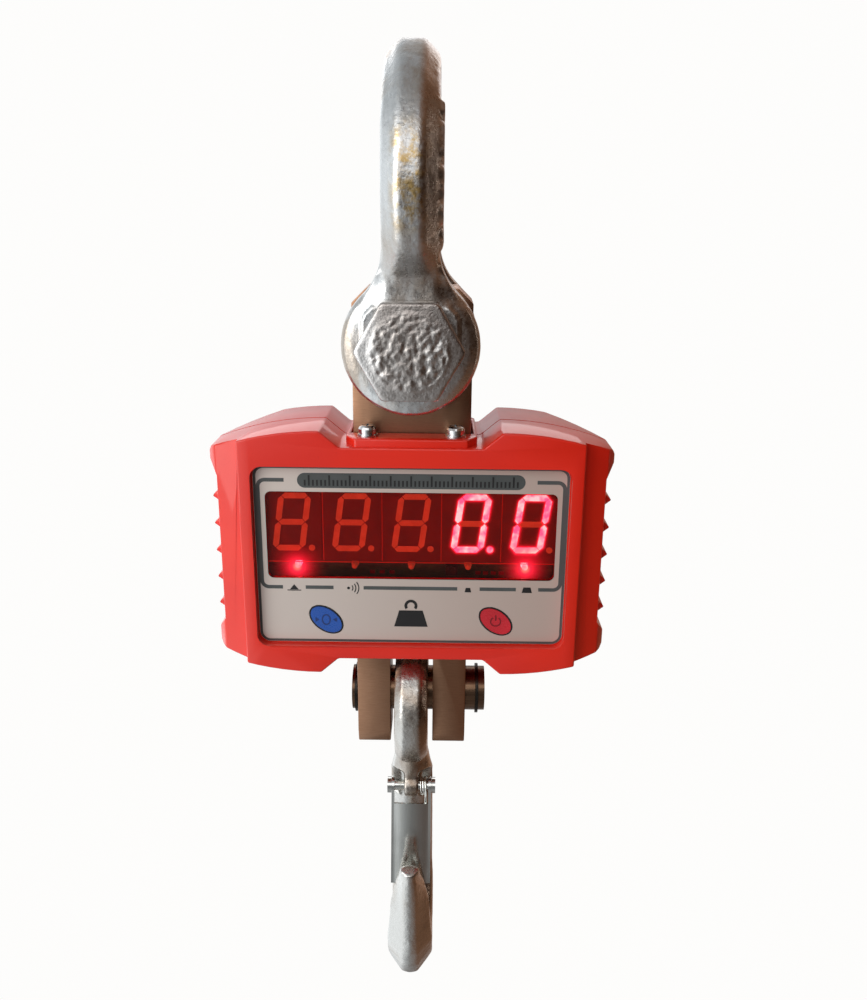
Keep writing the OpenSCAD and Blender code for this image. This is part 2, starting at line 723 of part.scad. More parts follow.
module cover_seals() color([0.1, 0.1, 0.1])
    for (z = [notch_top - 2, -notch_bottom + small_gap]) translate([0, 0, face_z + z])
        linear_extrude(seal_h) difference() {
            square([cell_w + 2 * passage_gap - 0.1, cell_t + 2 * passage_gap - 0.1], center = true);
            square([cell_w + 0.1, cell_t + 0.1], center = true);
        }

module cover_screws() color("gainsboro") at_cover_screws() {
    base = washer_t + spring_washer_t;
    difference() {
        translate([0, 0, base]) rotate_extrude() polygon([
            [0, 0], [4.5, 0], [4.5, 1.4], [4, 2.4], [2.8, 3.1], [0, 3.3]]);
        for (turn = [0, 90]) rotate(turn) translate([-2.6, -0.5, base + 1.8]) cube([5.2, 1, 3]);
    }
    translate([0, 0, -cover_screw_len]) cylinder(r = 2.5, h = cover_screw_len + base);
}

module ring(r0, r1, h) difference() {
    cylinder(r = r1, h = h);
    translate([0, 0, -1]) cylinder(r = r0, h = h + 2);
}

module flat_washers() color("silver") at_cover_screws() ring(2.6, 5, washer_t);

module spring_washers() color("silver") at_cover_screws()
    translate([0, 0, washer_t]) difference() {
        ring(2.6, 4.3, spring_washer_t);
        rotate(-60) translate([2, -0.3, -1]) cube([4, 0.6, 4]);
    }

// ---- panel, window and keys ----

module front_panel() color([0.76, 0.73, 0.7]) along_y(panel_y, panel_y + panel_t) difference() {
    translate([0, face_z + panel_mid]) round_rect(panel_w, panel_h, 5.5);
    translate([0, face_z + window_mid]) round_rect(window_w, window_h, 3);
    at_keys() oval(key_r, small_gap);
}

module display_window() color([0.25, 0.03, 0.04, 0.6])
    along_y(panel_y + panel_t, panel_y + panel_t + lens_t)
        translate([0, face_z + window_mid]) round_rect(window_w + 5.6, window_h + 5.6, 2.8);

// A key cap: its face stands a little proud and its flange sits behind the casing's floor
module key_cap(x) {
    flange = 1.3;
    translate([x, 0, face_z + key_z]) {
        along_y(panel_y - 0.3, floor_y + 0.05) rotate(key_tilt) oval(key_r);
        along_y(floor_y + 0.05, floor_y + 0.6) rotate(key_tilt) oval(key_r, flange);
    }
}

module zero_button() color([0.11, 0.34, 0.72]) key_cap(-key_x);
module power_button() color([0.78, 0.08, 0.13]) key_cap(key_x);

module key_switches() color("dimgray") for (x = [-key_x, key_x]) translate([x, 0, face_z + key_z]) {
    tip_y = floor_y + 0.6 + key_travel + 0.1;
    box([-3, tip_y + 1, -3], [3, board_y, 3]);
    rod_y(1.7, tip_y, tip_y + 1);
}

// ---- display ----

module display_board() color([0.12, 0.3, 0.16]) difference() {
    translate([-board_size[0] / 2, board_y, face_z + board_mid - board_size[1] / 2])
        cube([board_size[0], board_t, board_size[1]]);
    at_board_screws() rod_y(1.4, board_y - 1, board_y + board_t + 1);
    for (x = [-72, -44], z = [-30, 30]) rod_y(1.6, board_y - 1, board_y + board_t + 1, x, face_z + z);
}

module at_digits(list) {
    for (i = list) translate([(i - (digit_count - 1) / 2) * digit_pitch, 0, face_z + digit_mid]) children();
}

module digit_housings() color([0.12, 0.03, 0.03]) at_digits([0:digit_count - 1])
    box([-digit_pitch / 2 + 0.1, module_y, -module_h / 2], [digit_pitch / 2 - 0.1, board_y, module_h / 2]);

// Position and turn of the seven bars, in the order A to G
across = digit_w - seg_t;
rise = (digit_h - seg_t) / 2;
bars = [[0, rise, 0], [across / 2, rise / 2, 90], [across / 2, -rise / 2, 90], [0, -rise, 0],
    [-across / 2, -rise / 2, 90], [-across / 2, rise / 2, 90], [0, 0, 0]];

// Leans a point to the right by the digits' slant
function lean(p) = [p[0] + p[1] * tan(digit_slant), p[1]];

// The corner points of one bar after the slant
function bar_points(bar) = let (
    t = seg_t / 2,
    g = (bar[2] == 0 ? across : rise) / 2 - 0.25,
    flat = [[-g, 0], [-g + t, t], [g - t, t], [g, 0], [g - t, -t], [-g + t, -t]])
    [for (p = flat) lean([bar[0], bar[1]] + (bar[2] == 0 ? p : [-p[1], p[0]]))];

module digit_bars(list) {
    for (k = list) along_y(module_y - seg_d, module_y) polygon(bar_points(bars[k]));
}

module decimal_point() {
    point = lean([digit_w / 2 + 3.4, -digit_h / 2 + 1.6]);
    rod_y(1.6, module_y - seg_d, module_y, point[0], point[1], 32);
}

module lit_segments() color([1, 0.1, 0.3]) {
    at_digits([3, 4]) digit_bars([0:5]);
    at_digits([3]) decimal_point();
}

module unlit_segments() color([0.7, 0.2, 0.1]) {
    at_digits([0:2]) digit_bars([0:6]);
    at_digits([3, 4]) digit_bars([6]);
    at_digits([0, 1, 2, 4]) decimal_point();
}

// A round indicator lamp that stands on the board
module lamp(i) {
    length = board_y - floor_y - 0.4;
    translate([(i - 2) * 28.8, 0, face_z + indicator_z]) {
        rod_y(1.9, board_y - 1, board_y, 0, 0, 32);
        translate([0, board_y - 1, 0]) rotate([90, 0, 0]) rotate_extrude() polygon(concat([[0, 0], [1.5, 0]],
            [for (a = [0:15:90]) [1.5 * cos(a), length - 2.5 + 1.5 * sin(a)]]));
    }
}

module lit_indicators() color([1, 0.2, 0.15]) for (i = [0, 4]) lamp(i);
module unlit_indicators() color([0.5, 0.1, 0.08]) for (i = [1, 2, 3]) lamp(i);

module infrared_receiver() color("black") translate([20.5, 0, face_z - 10.5]) {
    box([-3, board_y - 3.4, -2.4], [3, board_y, 3]);
    rod_y(1.8, board_y - 4.8, board_y - 3.4, 0, 0.6, 32);
}

// Small parts on the display board, below the digits
module board_parts() color([0.35, 0.25, 0.15]) for (x = [-20, -15, -10, 34, 38, 42, 46])
    box([x - 1.3, board_y - 0.9, face_z - 13.4], [x + 1.3, board_y, face_z - 11.8]);

// ---- main board and battery ----

module main_board() color([0.1, 0.35, 0.2]) difference() {
    box([main_box[0], main_y, face_z + main_box[2]], [main_box[1], main_y + board_t, face_z + main_box[3]]);
    for (x = [-72, -44], z = [-30, 30]) rod_y(1.6, main_y - 1, main_y + board_t + 1, x, face_z + z);
}

module board_standoffs() color("goldenrod") for (x = [-72, -44], z = [-30, 30]) difference() {
    rod_y(2.9, board_y + board_t, main_y, x, face_z + z, 6);
    rod_y(1.5 + fixed_fit, board_y, main_y + 1, x, face_z + z);
}

module board_screws() color("silver") {
    for (x = [-72, -44], z = [-30, 30]) {
        rod_y(2.7, main_y + board_t, main_y + board_t + 2, x, face_z + z);
        rod_y(1.5, main_y - 3, main_y + board_t, x, face_z + z);
    }
    at_board_screws() {
        rod_y(2.3, board_y + board_t, board_y + board_t + 1.6);
        rod_y(1.25, board_y - 4, board_y + board_t);
    }
}

module board_connectors() color("ivory") for (z = [20, -10])
    box([-61, main_y + board_t, face_z + z - 4], [-52, main_y + board_t + 5, face_z + z + 4]);

module battery_pack() color([0.15, 0.3, 0.6])
    box([-28, pocket_y + small_gap, face_z + pocket_z[0] + 4], [28, pocket_y + 10, face_z + pocket_z[1] - 4]);

module battery_cable() color("black") cable(battery_route, 1.3);

module battery_door() color([0.8, 0.15, 0.11]) difference() {
    box([-door_x, back_y - door_t, face_z + door_z[0]], [door_x, back_y, face_z + door_z[1]]);
    for (x = [-thumb_x, thumb_x]) rod_y(2.5 + running_fit, back_y - door_t - 1, back_y + 1, x, face_z + thumb_z);
}

module door_seal() color([0.1, 0.1, 0.1]) difference() {
    box([-pocket_x - 2.6, back_y - door_t - seal_t, face_z + pocket_z[0] - 2.6],
        [pocket_x + 2.6, back_y - door_t, face_z + pocket_z[1] + 2.6]);
    box([-pocket_x - 0.6, 0, face_z + pocket_z[0] - 0.6], [pocket_x + 0.6, back_y, face_z + pocket_z[1] + 0.6]);
    for (x = [-thumb_x, thumb_x]) rod_y(4, 0, back_y, x, face_z + thumb_z);
}

// A thumb screw: a knurled head outside the door and a shank into the casing
module thumb_screw(x) translate([x, 0, face_z + thumb_z]) {
    head_h = 7;
    knurls = 18;
    along_y(back_y + small_gap, back_y + head_h) polygon([for (i = [0:2 * knurls - 1])
        let (r = i % 2 == 0 ? 5.4 : 5) [r * cos(180 * i / knurls), r * sin(180 * i / knurls)]]);
    rod_y(2.5, back_y - 12, back_y + small_gap);
}

module left_thumb_screw() color("silver") thumb_screw(-thumb_x);
module right_thumb_screw() color("silver") thumb_screw(thumb_x);

module charging_socket() color([0.08, 0.08, 0.08]) translate([socket_x, socket_y, face_z]) difference() {
    union() {
        translate([0, 0, -62.2]) cylinder(r = 6, h = 1);
        translate([0, 0, -61.2]) cylinder(r = 4, h = 12);
    }
    translate([0, 0, -63]) cylinder(r = 2.75, h = 12);
}

module rating_plate() color("lightgray")
    box([-25, back_y, face_z - 20], [25, back_y + 0.5, face_z + 16]);

shackle_bow();
shackle_bolt();
shackle_nut();
shackle_cotter();
load_cell();
gauge_covers();
strain_gauges();
cable_gland();
signal_cable();
clevis_pin();
clevis_circlips();
hook_body();
hook_latch();
latch_pin();
latch_spring();
front_casing();
rear_casing();
casing_gasket();
casing_screws();
cell_bolts();
top_cover();
cover_seals();
cover_screws();
flat_washers();
spring_washers();
front_panel();
display_window();
zero_button();
power_button();
key_switches();
display_board();
digit_housings();
lit_segments();
unlit_segments();
lit_indicators();
unlit_indicators();
infrared_receiver();
board_parts();
main_board();
board_standoffs();
board_screws();
board_connectors();
battery_pack();
battery_cable();
battery_door();
door_seal();
left_thumb_screw();
right_thumb_screw();
charging_socket();
rating_plate();
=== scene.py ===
# %% [markdown]
# # A hanging crane scale
# A crane scale hangs from a bow shackle, reads its load on a red display and carries the load on an eye hook.
# The frame brings in every part in its right place and size, so this lesson is about surfaces: forged zinc,
# enamel with soft edges, printed film, glowing digits and machined steel. Pieces whose shape is already right
# keep their mesh and get a finish. Forgings and castings get a softer copy, because a perfectly sharp edge
# catches no light and looks drawn rather than made.

# %% Load the frame
import math

import bmesh
import bpy
from mathutils import Matrix, Vector, noise
from mathutils.bvhtree import BVHTree


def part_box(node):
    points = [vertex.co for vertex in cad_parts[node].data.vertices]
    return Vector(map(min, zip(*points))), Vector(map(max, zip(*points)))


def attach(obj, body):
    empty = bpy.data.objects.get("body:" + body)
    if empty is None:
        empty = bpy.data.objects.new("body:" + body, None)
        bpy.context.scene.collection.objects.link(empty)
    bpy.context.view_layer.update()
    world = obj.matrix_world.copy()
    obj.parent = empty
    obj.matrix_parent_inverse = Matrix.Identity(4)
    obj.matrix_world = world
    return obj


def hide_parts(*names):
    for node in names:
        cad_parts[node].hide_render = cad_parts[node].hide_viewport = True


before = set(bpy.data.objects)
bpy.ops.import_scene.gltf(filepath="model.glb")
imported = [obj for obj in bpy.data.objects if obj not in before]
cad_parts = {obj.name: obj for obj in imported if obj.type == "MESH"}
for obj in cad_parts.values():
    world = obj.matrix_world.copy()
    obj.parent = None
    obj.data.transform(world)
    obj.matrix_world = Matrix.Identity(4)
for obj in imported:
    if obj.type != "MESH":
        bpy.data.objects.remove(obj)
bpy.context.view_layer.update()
scene = bpy.context.scene
MM = 0.001
MIX_FACTOR, MIX_FIRST, MIX_SECOND, MIX_RESULT = 0, 6, 7, 2  # the colour sockets of a Mix node
PALE_BACKDROP = (0.985, 0.98, 0.97, 1)
print("pieces in the frame:", len(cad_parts))

# %% [markdown]
# ## Camera
# The camera stands in front of the display and a little above it, and looks down at the scale. Its three
# directions are written out, because that says its small roll exactly, where angles would hide it.

# %% Camera
CAMERA_PLACE = Vector((13.5, -458.5, -47.3)) * MM
CAMERA_RIGHT = Vector((0.9999, 0.0088, 0.0093))
CAMERA_DOWN = Vector((0.0115, -0.2994, -0.9541))
CAMERA_AHEAD = Vector((-0.0056, 0.9541, -0.2994))
camera = bpy.data.objects.new("camera", bpy.data.cameras.new("camera"))
scene.collection.objects.link(camera)
camera.data.lens = 33.26
camera.data.sensor_width = 36
turn = Matrix((CAMERA_RIGHT, -CAMERA_DOWN, -CAMERA_AHEAD)).transposed().to_4x4()
camera.matrix_world = Matrix.Translation(CAMERA_PLACE) @ turn
scene.camera = camera
scene.view_settings.view_transform = "Standard"
print("camera stands", round(-CAMERA_PLACE.y / MM), "mm in front of the load bar")

# %% [markdown]
# ## Studio
# Zinc and enamel show what they reflect, so the studio is built for reflections: bright on the left and
# above, dim and warm on the right. A world made of soft gradients gives these, and a few area lights add the
# crisp streaks. The pale floor and sky that the camera sees don't light the object as well.

# %% World of soft gradients
world = bpy.data.worlds.new("studio")
scene.world = world
world.use_nodes = True
sky = world.node_tree
sky.nodes.clear()


def sky_math(operation, first, second, clamp=False):
    """A sum or product of two sockets or numbers in the world's node tree."""
    step = sky.nodes.new("ShaderNodeMath")
    step.operation = operation
    step.use_clamp = clamp
    for place, value in enumerate((first, second)):
        if isinstance(value, (int, float)):
            step.inputs[place].default_value = value
        else:
            sky.links.new(value, step.inputs[place])
    return step.outputs[0]


def sky_band(axis_socket, low, high, gain):
    """Light that rises from nothing at one direction to full gain at another."""
    spread = sky.nodes.new("ShaderNodeMapRange")
    spread.interpolation_type = "SMOOTHSTEP"
    spread.inputs["From Min"].default_value = low
    spread.inputs["From Max"].default_value = high
    spread.inputs["To Max"].default_value = gain
    sky.links.new(axis_socket, spread.inputs["Value"])
    return spread.outputs["Result"]


direction = sky.nodes.new("ShaderNodeTexCoord").outputs["Generated"]
parts = sky.nodes.new("ShaderNodeSeparateXYZ")
sky.links.new(direction, parts.inputs[0])
left = sky_math("MULTIPLY", parts.outputs["X"], -1.0)
level = sky_math("SUBTRACT", 1.0, sky_band(parts.outputs["Z"], 0.15, 0.6, 0.8))
window_glow = sky_math("MULTIPLY", sky_band(left, 0.06, 0.5, 0.95), level)
downward = sky_math("MULTIPLY", parts.outputs["Z"], -1.0)
glow = window_glow
for toward, low, high, gain in (
    (parts.outputs["Z"], 0.2, 0.8, 0.2),  # above
    (downward, 0.1, 0.7, 0.16),
    (parts.outputs["Y"], 0.3, 0.9, 0.35),  # behind the scale
    (left, -0.6, 0.2, 0.17),
):
    glow = sky_math("ADD", glow, sky_band(toward, low, high, gain))
DIMMEST = 0.035
glow = sky_math("ADD", glow, DIMMEST)
warmth = sky.nodes.new("ShaderNodeMix")
warmth.data_type = "RGBA"
warmth.inputs[MIX_FIRST].default_value = (1.0, 0.50, 0.28, 1)
warmth.inputs[MIX_SECOND].default_value = (0.95, 0.98, 1.0, 1)
sky.links.new(sky_band(left, -0.7, 0.15, 1.0), warmth.inputs[MIX_FACTOR])
studio_light = sky.nodes.new("ShaderNodeBackground")
sky.links.new(warmth.outputs[MIX_RESULT], studio_light.inputs["Color"])
sky.links.new(glow, studio_light.inputs["Strength"])
backdrop_light = sky.nodes.new("ShaderNodeBackground")
backdrop_light.inputs["Color"].default_value = PALE_BACKDROP
seen_directly = sky.nodes.new("ShaderNodeLightPath").outputs["Is Camera Ray"]
chosen = sky.nodes.new("ShaderNodeMixShader")
sky.links.new(seen_directly, chosen.inputs[0])
sky.links.new(studio_light.outputs[0], chosen.inputs[1])
sky.links.new(backdrop_light.outputs[0], chosen.inputs[2])
out = sky.nodes.new("ShaderNodeOutputWorld")
sky.links.new(chosen.outputs[0], out.inputs["Surface"])
print("world nodes:", len(sky.nodes))

# %% Floor
FLOOR_Z = -0.62
FLOOR_SIZE = 12.0
floor_mesh = bpy.data.meshes.new("floor")
floor = bpy.data.objects.new("floor", floor_mesh)
scene.collection.objects.link(floor)
grid = bmesh.new()
bmesh.ops.create_grid(grid, x_segments=1, y_segments=1, size=FLOOR_SIZE)
bmesh.ops.translate(grid, verts=grid.verts, vec=(0, 0, FLOOR_Z))
grid.to_mesh(floor_mesh)
grid.free()
floor_paint = bpy.data.materials.new("pale_floor")
floor_paint.use_nodes = True
floor_shader = floor_paint.node_tree.nodes["Principled BSDF"]
floor_shader.inputs["Base Color"].default_value = (0, 0, 0, 1)
floor_shader.inputs["Roughness"].default_value = 1.0
floor_shader.inputs["Specular IOR Level"].default_value = 0.0
floor_shader.inputs["Emission Color"].default_value = PALE_BACKDROP
floor_shader.inputs["Emission Strength"].default_value = 1.0
floor_mesh.materials.append(floor_paint)
floor.visible_diffuse = False
floor.visible_glossy = False


# %% Area lights
def soft_box(name, place, target, width, height, watts, tint=(1, 1, 1)):
    """A rectangular area light that faces a point on the scale."""
    lamp = bpy.data.lights.new(name, "AREA")
    lamp.shape = "RECTANGLE"
    lamp.size = width
    lamp.size_y = height
    lamp.energy = watts
    lamp.color = tint
    holder = bpy.data.objects.new(name, lamp)
    scene.collection.objects.link(holder)
    holder.location = place
    aim = Vector(target) - Vector(place)
    holder.rotation_euler = aim.to_track_quat("-Z", "Y").to_euler()


MIDDLE = Vector((0, 0, -0.22))
soft_box("window_left", (-0.85, -0.7, 0.05), MIDDLE, 0.7, 1.1, 5.6, (1.0, 0.98, 0.95))
soft_box("front_fill", (-0.45, -1.2, 0.65), MIDDLE, 1.7, 0.9, 6.6, (1.0, 0.98, 0.97))
soft_box("rear_panel", (0.0, 1.0, 0.35), MIDDLE, 1.2, 0.4, 2.2, (1.0, 0.96, 0.95))
soft_box("strip_right", (0.8, 0.1, -0.1), MIDDLE, 0.05, 0.9, 0.25, (1.0, 0.75, 0.6))

# %% [markdown]
# ## Tools for finishes
# Every finish is a Principled shader whose colour, roughness and bump come from procedural noise on Object
# coordinates, so the pattern is fixed to the piece and keeps its real size in millimetres. A few small
# helpers keep the node code short.


# %% Finish helpers
class Finish:
    """One material and the few node moves that all of them share."""

    def __init__(self, name, colour, roughness, metallic=0.0, **sockets):
        self.material = bpy.data.materials.new(name)
        self.material.use_nodes = True
        self.tree = self.material.node_tree
        self.shader = self.tree.nodes["Principled BSDF"]
        self.set("Base Color", (*colour, 1))
        self.set("Roughness", roughness)
        self.set("Metallic", metallic)
        for socket, value in sockets.items():
            self.set(socket.replace("_", " "), value)
        self.place = self.tree.nodes.new("ShaderNodeTexCoord").outputs["Object"]
        self.height = None

    def set(self, socket, value):
        self.shader.inputs[socket].default_value = value

    def link(self, source, target):
        self.tree.links.new(source, target)

    def stretch(self, scale):
        """Object coordinates stretched by a factor on each axis."""
        mapping = self.tree.nodes.new("ShaderNodeMapping")
        mapping.inputs["Scale"].default_value = scale
        self.link(self.place, mapping.inputs["Vector"])
        return mapping.outputs[0]

    def noise(self, size_mm, detail=4.0, rough=0.55, stretch=(1, 1, 1), distortion=0.0):
        """Noise whose grains are about size_mm across."""
        step = self.tree.nodes.new("ShaderNodeTexNoise")
        step.inputs["Scale"].default_value = 1 / (size_mm * MM)
        step.inputs["Detail"].default_value = detail
        step.inputs["Roughness"].default_value = rough
        step.inputs["Distortion"].default_value = distortion
        self.link(self.stretch(stretch), step.inputs["Vector"])
        return step.outputs["Fac"]

    def cells(self, size_mm, stretch=(1, 1, 1)):
        """Cells about size_mm across, each with its own value."""
        step = self.tree.nodes.new("ShaderNodeTexVoronoi")
        step.inputs["Scale"].default_value = 1 / (size_mm * MM)
        self.link(self.stretch(stretch), step.inputs["Vector"])
        grey = self.tree.nodes.new("ShaderNodeRGBToBW")
        self.link(step.outputs["Color"], grey.inputs[0])
        return grey.outputs[0]

    def ramp(self, source, stops):
        """Colours along a 0 to 1 value."""
        step = self.tree.nodes.new("ShaderNodeValToRGB")
        band = step.color_ramp
        while len(band.elements) < len(stops):
            band.elements.new(0.5)
        for element, (at, colour) in zip(band.elements, stops):
            element.position = at
            element.color = (*colour, 1)
        self.link(source, step.inputs[0])
        return step.outputs[0]

    def span(self, source, low, high, to_low=0.0, to_high=1.0):
        """Maps one range of values onto another, smoothly."""
        step = self.tree.nodes.new("ShaderNodeMapRange")
        step.interpolation_type = "SMOOTHSTEP"
        for socket, value in zip(("From Min", "From Max", "To Min", "To Max"), (low, high, to_low, to_high)):
            step.inputs[socket].default_value = value
        self.link(source, step.inputs["Value"])
        return step.outputs["Result"]

    def blend(self, factor, first, second, mode="MIX"):
        """Mixes two colours by a factor."""
        step = self.tree.nodes.new("ShaderNodeMix")
        step.data_type = "RGBA"
        step.blend_type = mode
        for socket, value in ((MIX_FACTOR, factor), (MIX_FIRST, first), (MIX_SECOND, second)):
            if isinstance(value, (int, float)):
                step.inputs[socket].default_value = value
            elif isinstance(value, tuple):
                step.inputs[socket].default_value = (*value, 1)
            else:
                self.link(value, step.inputs[socket])
        return step.outputs[MIX_RESULT]

    def product(self, first, second):
        """Multiplies two grey values."""
        return self.blend(1.0, first, second, "MULTIPLY")

    def within(self, source, low, high, painted_light_falloff):
        """A value that is 1 between two limits and fades to 0 past each of them."""
        rise = self.span(source, low - painted_light_falloff, low)
        fall = self.span(source, high, high + painted_light_falloff, 1.0, 0.0)
        return self.product(rise, fall)

    def axis(self, letter):
        """One of the three object coordinates."""
        step = self.tree.nodes.new("ShaderNodeSeparateXYZ")
        self.link(self.place, step.inputs[0])
        return step.outputs[letter]

    def bump(self, height, depth_mm, strength=1.0):
        """Adds one layer of bump on top of those before it."""
        step = self.tree.nodes.new("ShaderNodeBump")
        step.inputs["Strength"].default_value = strength
        step.inputs["Distance"].default_value = depth_mm * MM
        self.link(height, step.inputs["Height"])
        if self.height is not None:
            self.link(self.height, step.inputs["Normal"])
        self.height = step.outputs[0]
        self.link(self.height, self.shader.inputs["Normal"])

    def use(self, socket, source):
        self.link(source, self.shader.inputs[socket])


finishes = {}


def wear(name, *nodes):
    """Gives CAD nodes a finish by filling their material slots."""
    for node in nodes:
        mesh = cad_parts[node].data
        mesh.materials.clear()
        mesh.materials.append(finishes[name])


print("finish tools ready")

# %% [markdown]
# ## Hot-dip zinc
# Forged shackles and hooks are dipped in zinc. It is a rough grey metal whose tiny grains differ in shade,
# with browner flow marks and small dark specks. The noise that makes the specks drives the roughness too, so
# that they are also duller, as on a real coat.


# %% Zinc
def zinc(name, tint, dark, rough_low, rough_high, grain_mm, patch_band=None, lump_mm=0.11):
    """Galvanised forged steel. stain is a low and a high Z and the colour of a patch between them."""
    coat = Finish(name, tint, 0.4, metallic=1.0)
    flow = coat.noise(26, 5, 0.6, (1, 1, 0.45), 0.6)
    speckle = coat.noise(1.5, 6, 0.7)
    grains = coat.cells(grain_mm)
    patches = coat.span(flow, 0.36, 0.66)
    colour = coat.blend(patches, tint, dark)
    colour = coat.blend(coat.span(speckle, 0.5, 0.8, 0.0, 0.12), colour, tuple(0.45 * c for c in dark))
    colour = coat.blend(0.07, colour, coat.ramp(grains, [(0, (0.35, 0.35, 0.36)), (1, (1, 1, 1))]), "OVERLAY")
    # a browner, mottled patch along the crest of the legs, between a low and a high Z
    if patch_band:
        low, high, patch_colour = patch_band
        height = coat.within(coat.axis("Z"), low, high, 12 * MM)
        crest = coat.within(coat.axis("X"), -4 * MM, 4 * MM, 6 * MM)
        mottling = coat.span(coat.noise(7, 5, 0.7), 0.40, 0.62)
        colour = coat.blend(coat.product(coat.product(height, crest), mottling), colour, patch_colour)
    coat.use("Base Color", colour)
    coat.use("Roughness", coat.span(speckle, 0.3, 0.7, rough_low, rough_high))
    coat.bump(flow, 0.5, 0.6)
    coat.bump(coat.noise(3.5, 2, 0.5), 0.26, 0.8)
    coat.bump(coat.noise(1.1, 2, 0.5), lump_mm, 0.7)
    return coat.material


# a golden-brown mottled patch on the front crest of the bow's legs, between Z of -48 and -20 mm
crest_patch = (-48 * MM, -20 * MM, (0.46, 0.32, 0.13))
finishes["bow_zinc"] = zinc("bow_zinc", (0.58, 0.60, 0.61), (0.40, 0.35, 0.30), 0.24, 0.42, 0.8, crest_patch)
finishes["bolt_zinc"] = zinc("bolt_zinc", (0.62, 0.61, 0.60), (0.38, 0.35, 0.33), 0.26, 0.42, 0.7, None, 0.2)
finishes["hook_zinc"] = zinc("hook_zinc", (0.60, 0.60, 0.58), (0.30, 0.24, 0.19), 0.22, 0.38, 0.7)
wear("bow_zinc", "shackle_bow")
wear("bolt_zinc", "shackle_bolt", "shackle_nut")
wear("hook_zinc", "hook_body")
print("zinc finishes: 3")

# %% [markdown]
# ## Enamel
# The casing is a casting under thick orange-red enamel. Enamel is a coloured base under a clear coat, so its
# highlights stay white. A very shallow wave is the orange peel that every sprayed coat has, and tiny specks
# of dust sit in it.


# %% Enamel
def enamel(name, colour, deep):
    """Sprayed gloss enamel over a casting."""
    paint = Finish(name, colour, 0.38, Coat_Weight=0.6, Coat_Roughness=0.06, Specular_IOR_Level=0.3)
    drift = paint.noise(45, 3, 0.5)
    specks = paint.noise(0.8, 2, 0.5)
    body = paint.blend(paint.span(drift, 0.3, 0.7), colour, deep)
    body = paint.blend(paint.span(specks, 0.70, 0.80, 0.0, 0.35), body, tuple(0.4 * c for c in deep))
    paint.use("Base Color", body)
    paint.use("Roughness", paint.span(drift, 0.3, 0.7, 0.34, 0.46))
    paint.bump(paint.noise(5.5, 2, 0.4), 0.05, 0.35)
    return paint.material


finishes["enamel_red"] = enamel("enamel_red", (0.78, 0.022, 0.007), (0.71, 0.017, 0.006))
wear("enamel_red", "front_casing", "rear_casing", "top_cover", "battery_door")
print("enamel finishes: 1")

# %% [markdown]
# ## Machined and bright steel
# The load bar is ground across, which leaves fine level streaks, warm and brownish under its thin oil film.
# Screws, washers and the latch are zinc plated and bright. Streaks are noise that is stretched along one
# axis, by a factor below 1.


# %% Machined steel
def ground_steel(name, light, dark, stretch, rough, streak_mm=2.2):
    """Ground or rolled steel with streaks along one axis."""
    steel = Finish(name, light, rough, metallic=1.0)
    streaks = steel.noise(streak_mm, 5, 0.65, stretch)
    cloud = steel.noise(30, 4, 0.55)
    colour = steel.blend(steel.span(streaks, 0.35, 0.68), light, dark)
    colour = steel.blend(steel.span(cloud, 0.42, 0.7, 0.0, 0.5), colour, tuple(0.7 * c for c in dark))
    steel.use("Base Color", colour)
    steel.use("Roughness", steel.span(streaks, 0.3, 0.7, rough - 0.05, rough + 0.1))
    steel.bump(streaks, 0.03, 0.5)
    steel.bump(steel.noise(0.7, 2, 0.5), 0.012, 0.6)
    return steel.material


for name, *look in (
    ("bar_steel", (0.37, 0.205, 0.125), (0.33, 0.18, 0.108), (0.08, 1, 1), 0.36, 0.5),
    ("pin_steel", (0.20, 0.12, 0.075), (0.09, 0.05, 0.03), (0.06, 1, 1), 0.28),
    ("latch_steel", (0.70, 0.71, 0.69), (0.60, 0.61, 0.58), (1, 0.1, 0.05), 0.17),
    ("screw_steel", (0.72, 0.73, 0.74), (0.52, 0.53, 0.54), (1, 1, 1), 0.22),
    ("black_steel", (0.05, 0.045, 0.04), (0.02, 0.018, 0.016), (1, 1, 1), 0.36),
    ("plate_metal", (0.72, 0.72, 0.70), (0.60, 0.60, 0.58), (0.05, 1, 1), 0.36),
):
    finishes[name] = ground_steel(name, *look)
wear("bar_steel", "load_cell")
wear("pin_steel", "clevis_pin")
wear("latch_steel", "hook_latch", "latch_pin", "latch_spring")
wear("screw_steel", "shackle_cotter", "cover_screws", "flat_washers", "spring_washers", "casing_screws")
wear("screw_steel", "cell_bolts", "board_screws", "left_thumb_screw", "right_thumb_screw", "gauge_covers")
wear("black_steel", "clevis_circlips")
wear("plate_metal", "rating_plate")
print("steel finishes: 6")

# %% [markdown]
# ## Plastics, rubber, film and boards
# The rest are quieter finishes: matt rubber, moulded plastic with a fine grain and solder-masked boards. Each
# still has its own grain, because a surface with no grain looks like plain computer plastic.


# %% Moulded finishes and boards
def moulded(name, colour, rough, grain_mm=0.6, depth_mm=0.02, metallic=0.0, **sockets):
    """A moulded or sprayed surface with a fine grain and faint shade changes."""
    skin = Finish(name, colour, rough, metallic, **sockets)
    grain = skin.noise(grain_mm, 3, 0.6)
    shade = skin.noise(18, 3, 0.5)
    skin.use("Base Color", skin.blend(skin.span(shade, 0.3, 0.7), colour, tuple(0.82 * c for c in colour)))
    skin.use("Roughness", skin.span(grain, 0.3, 0.7, max(rough - 0.06, 0.02), rough + 0.06))
    skin.bump(grain, depth_mm, 0.6)
    return skin.material


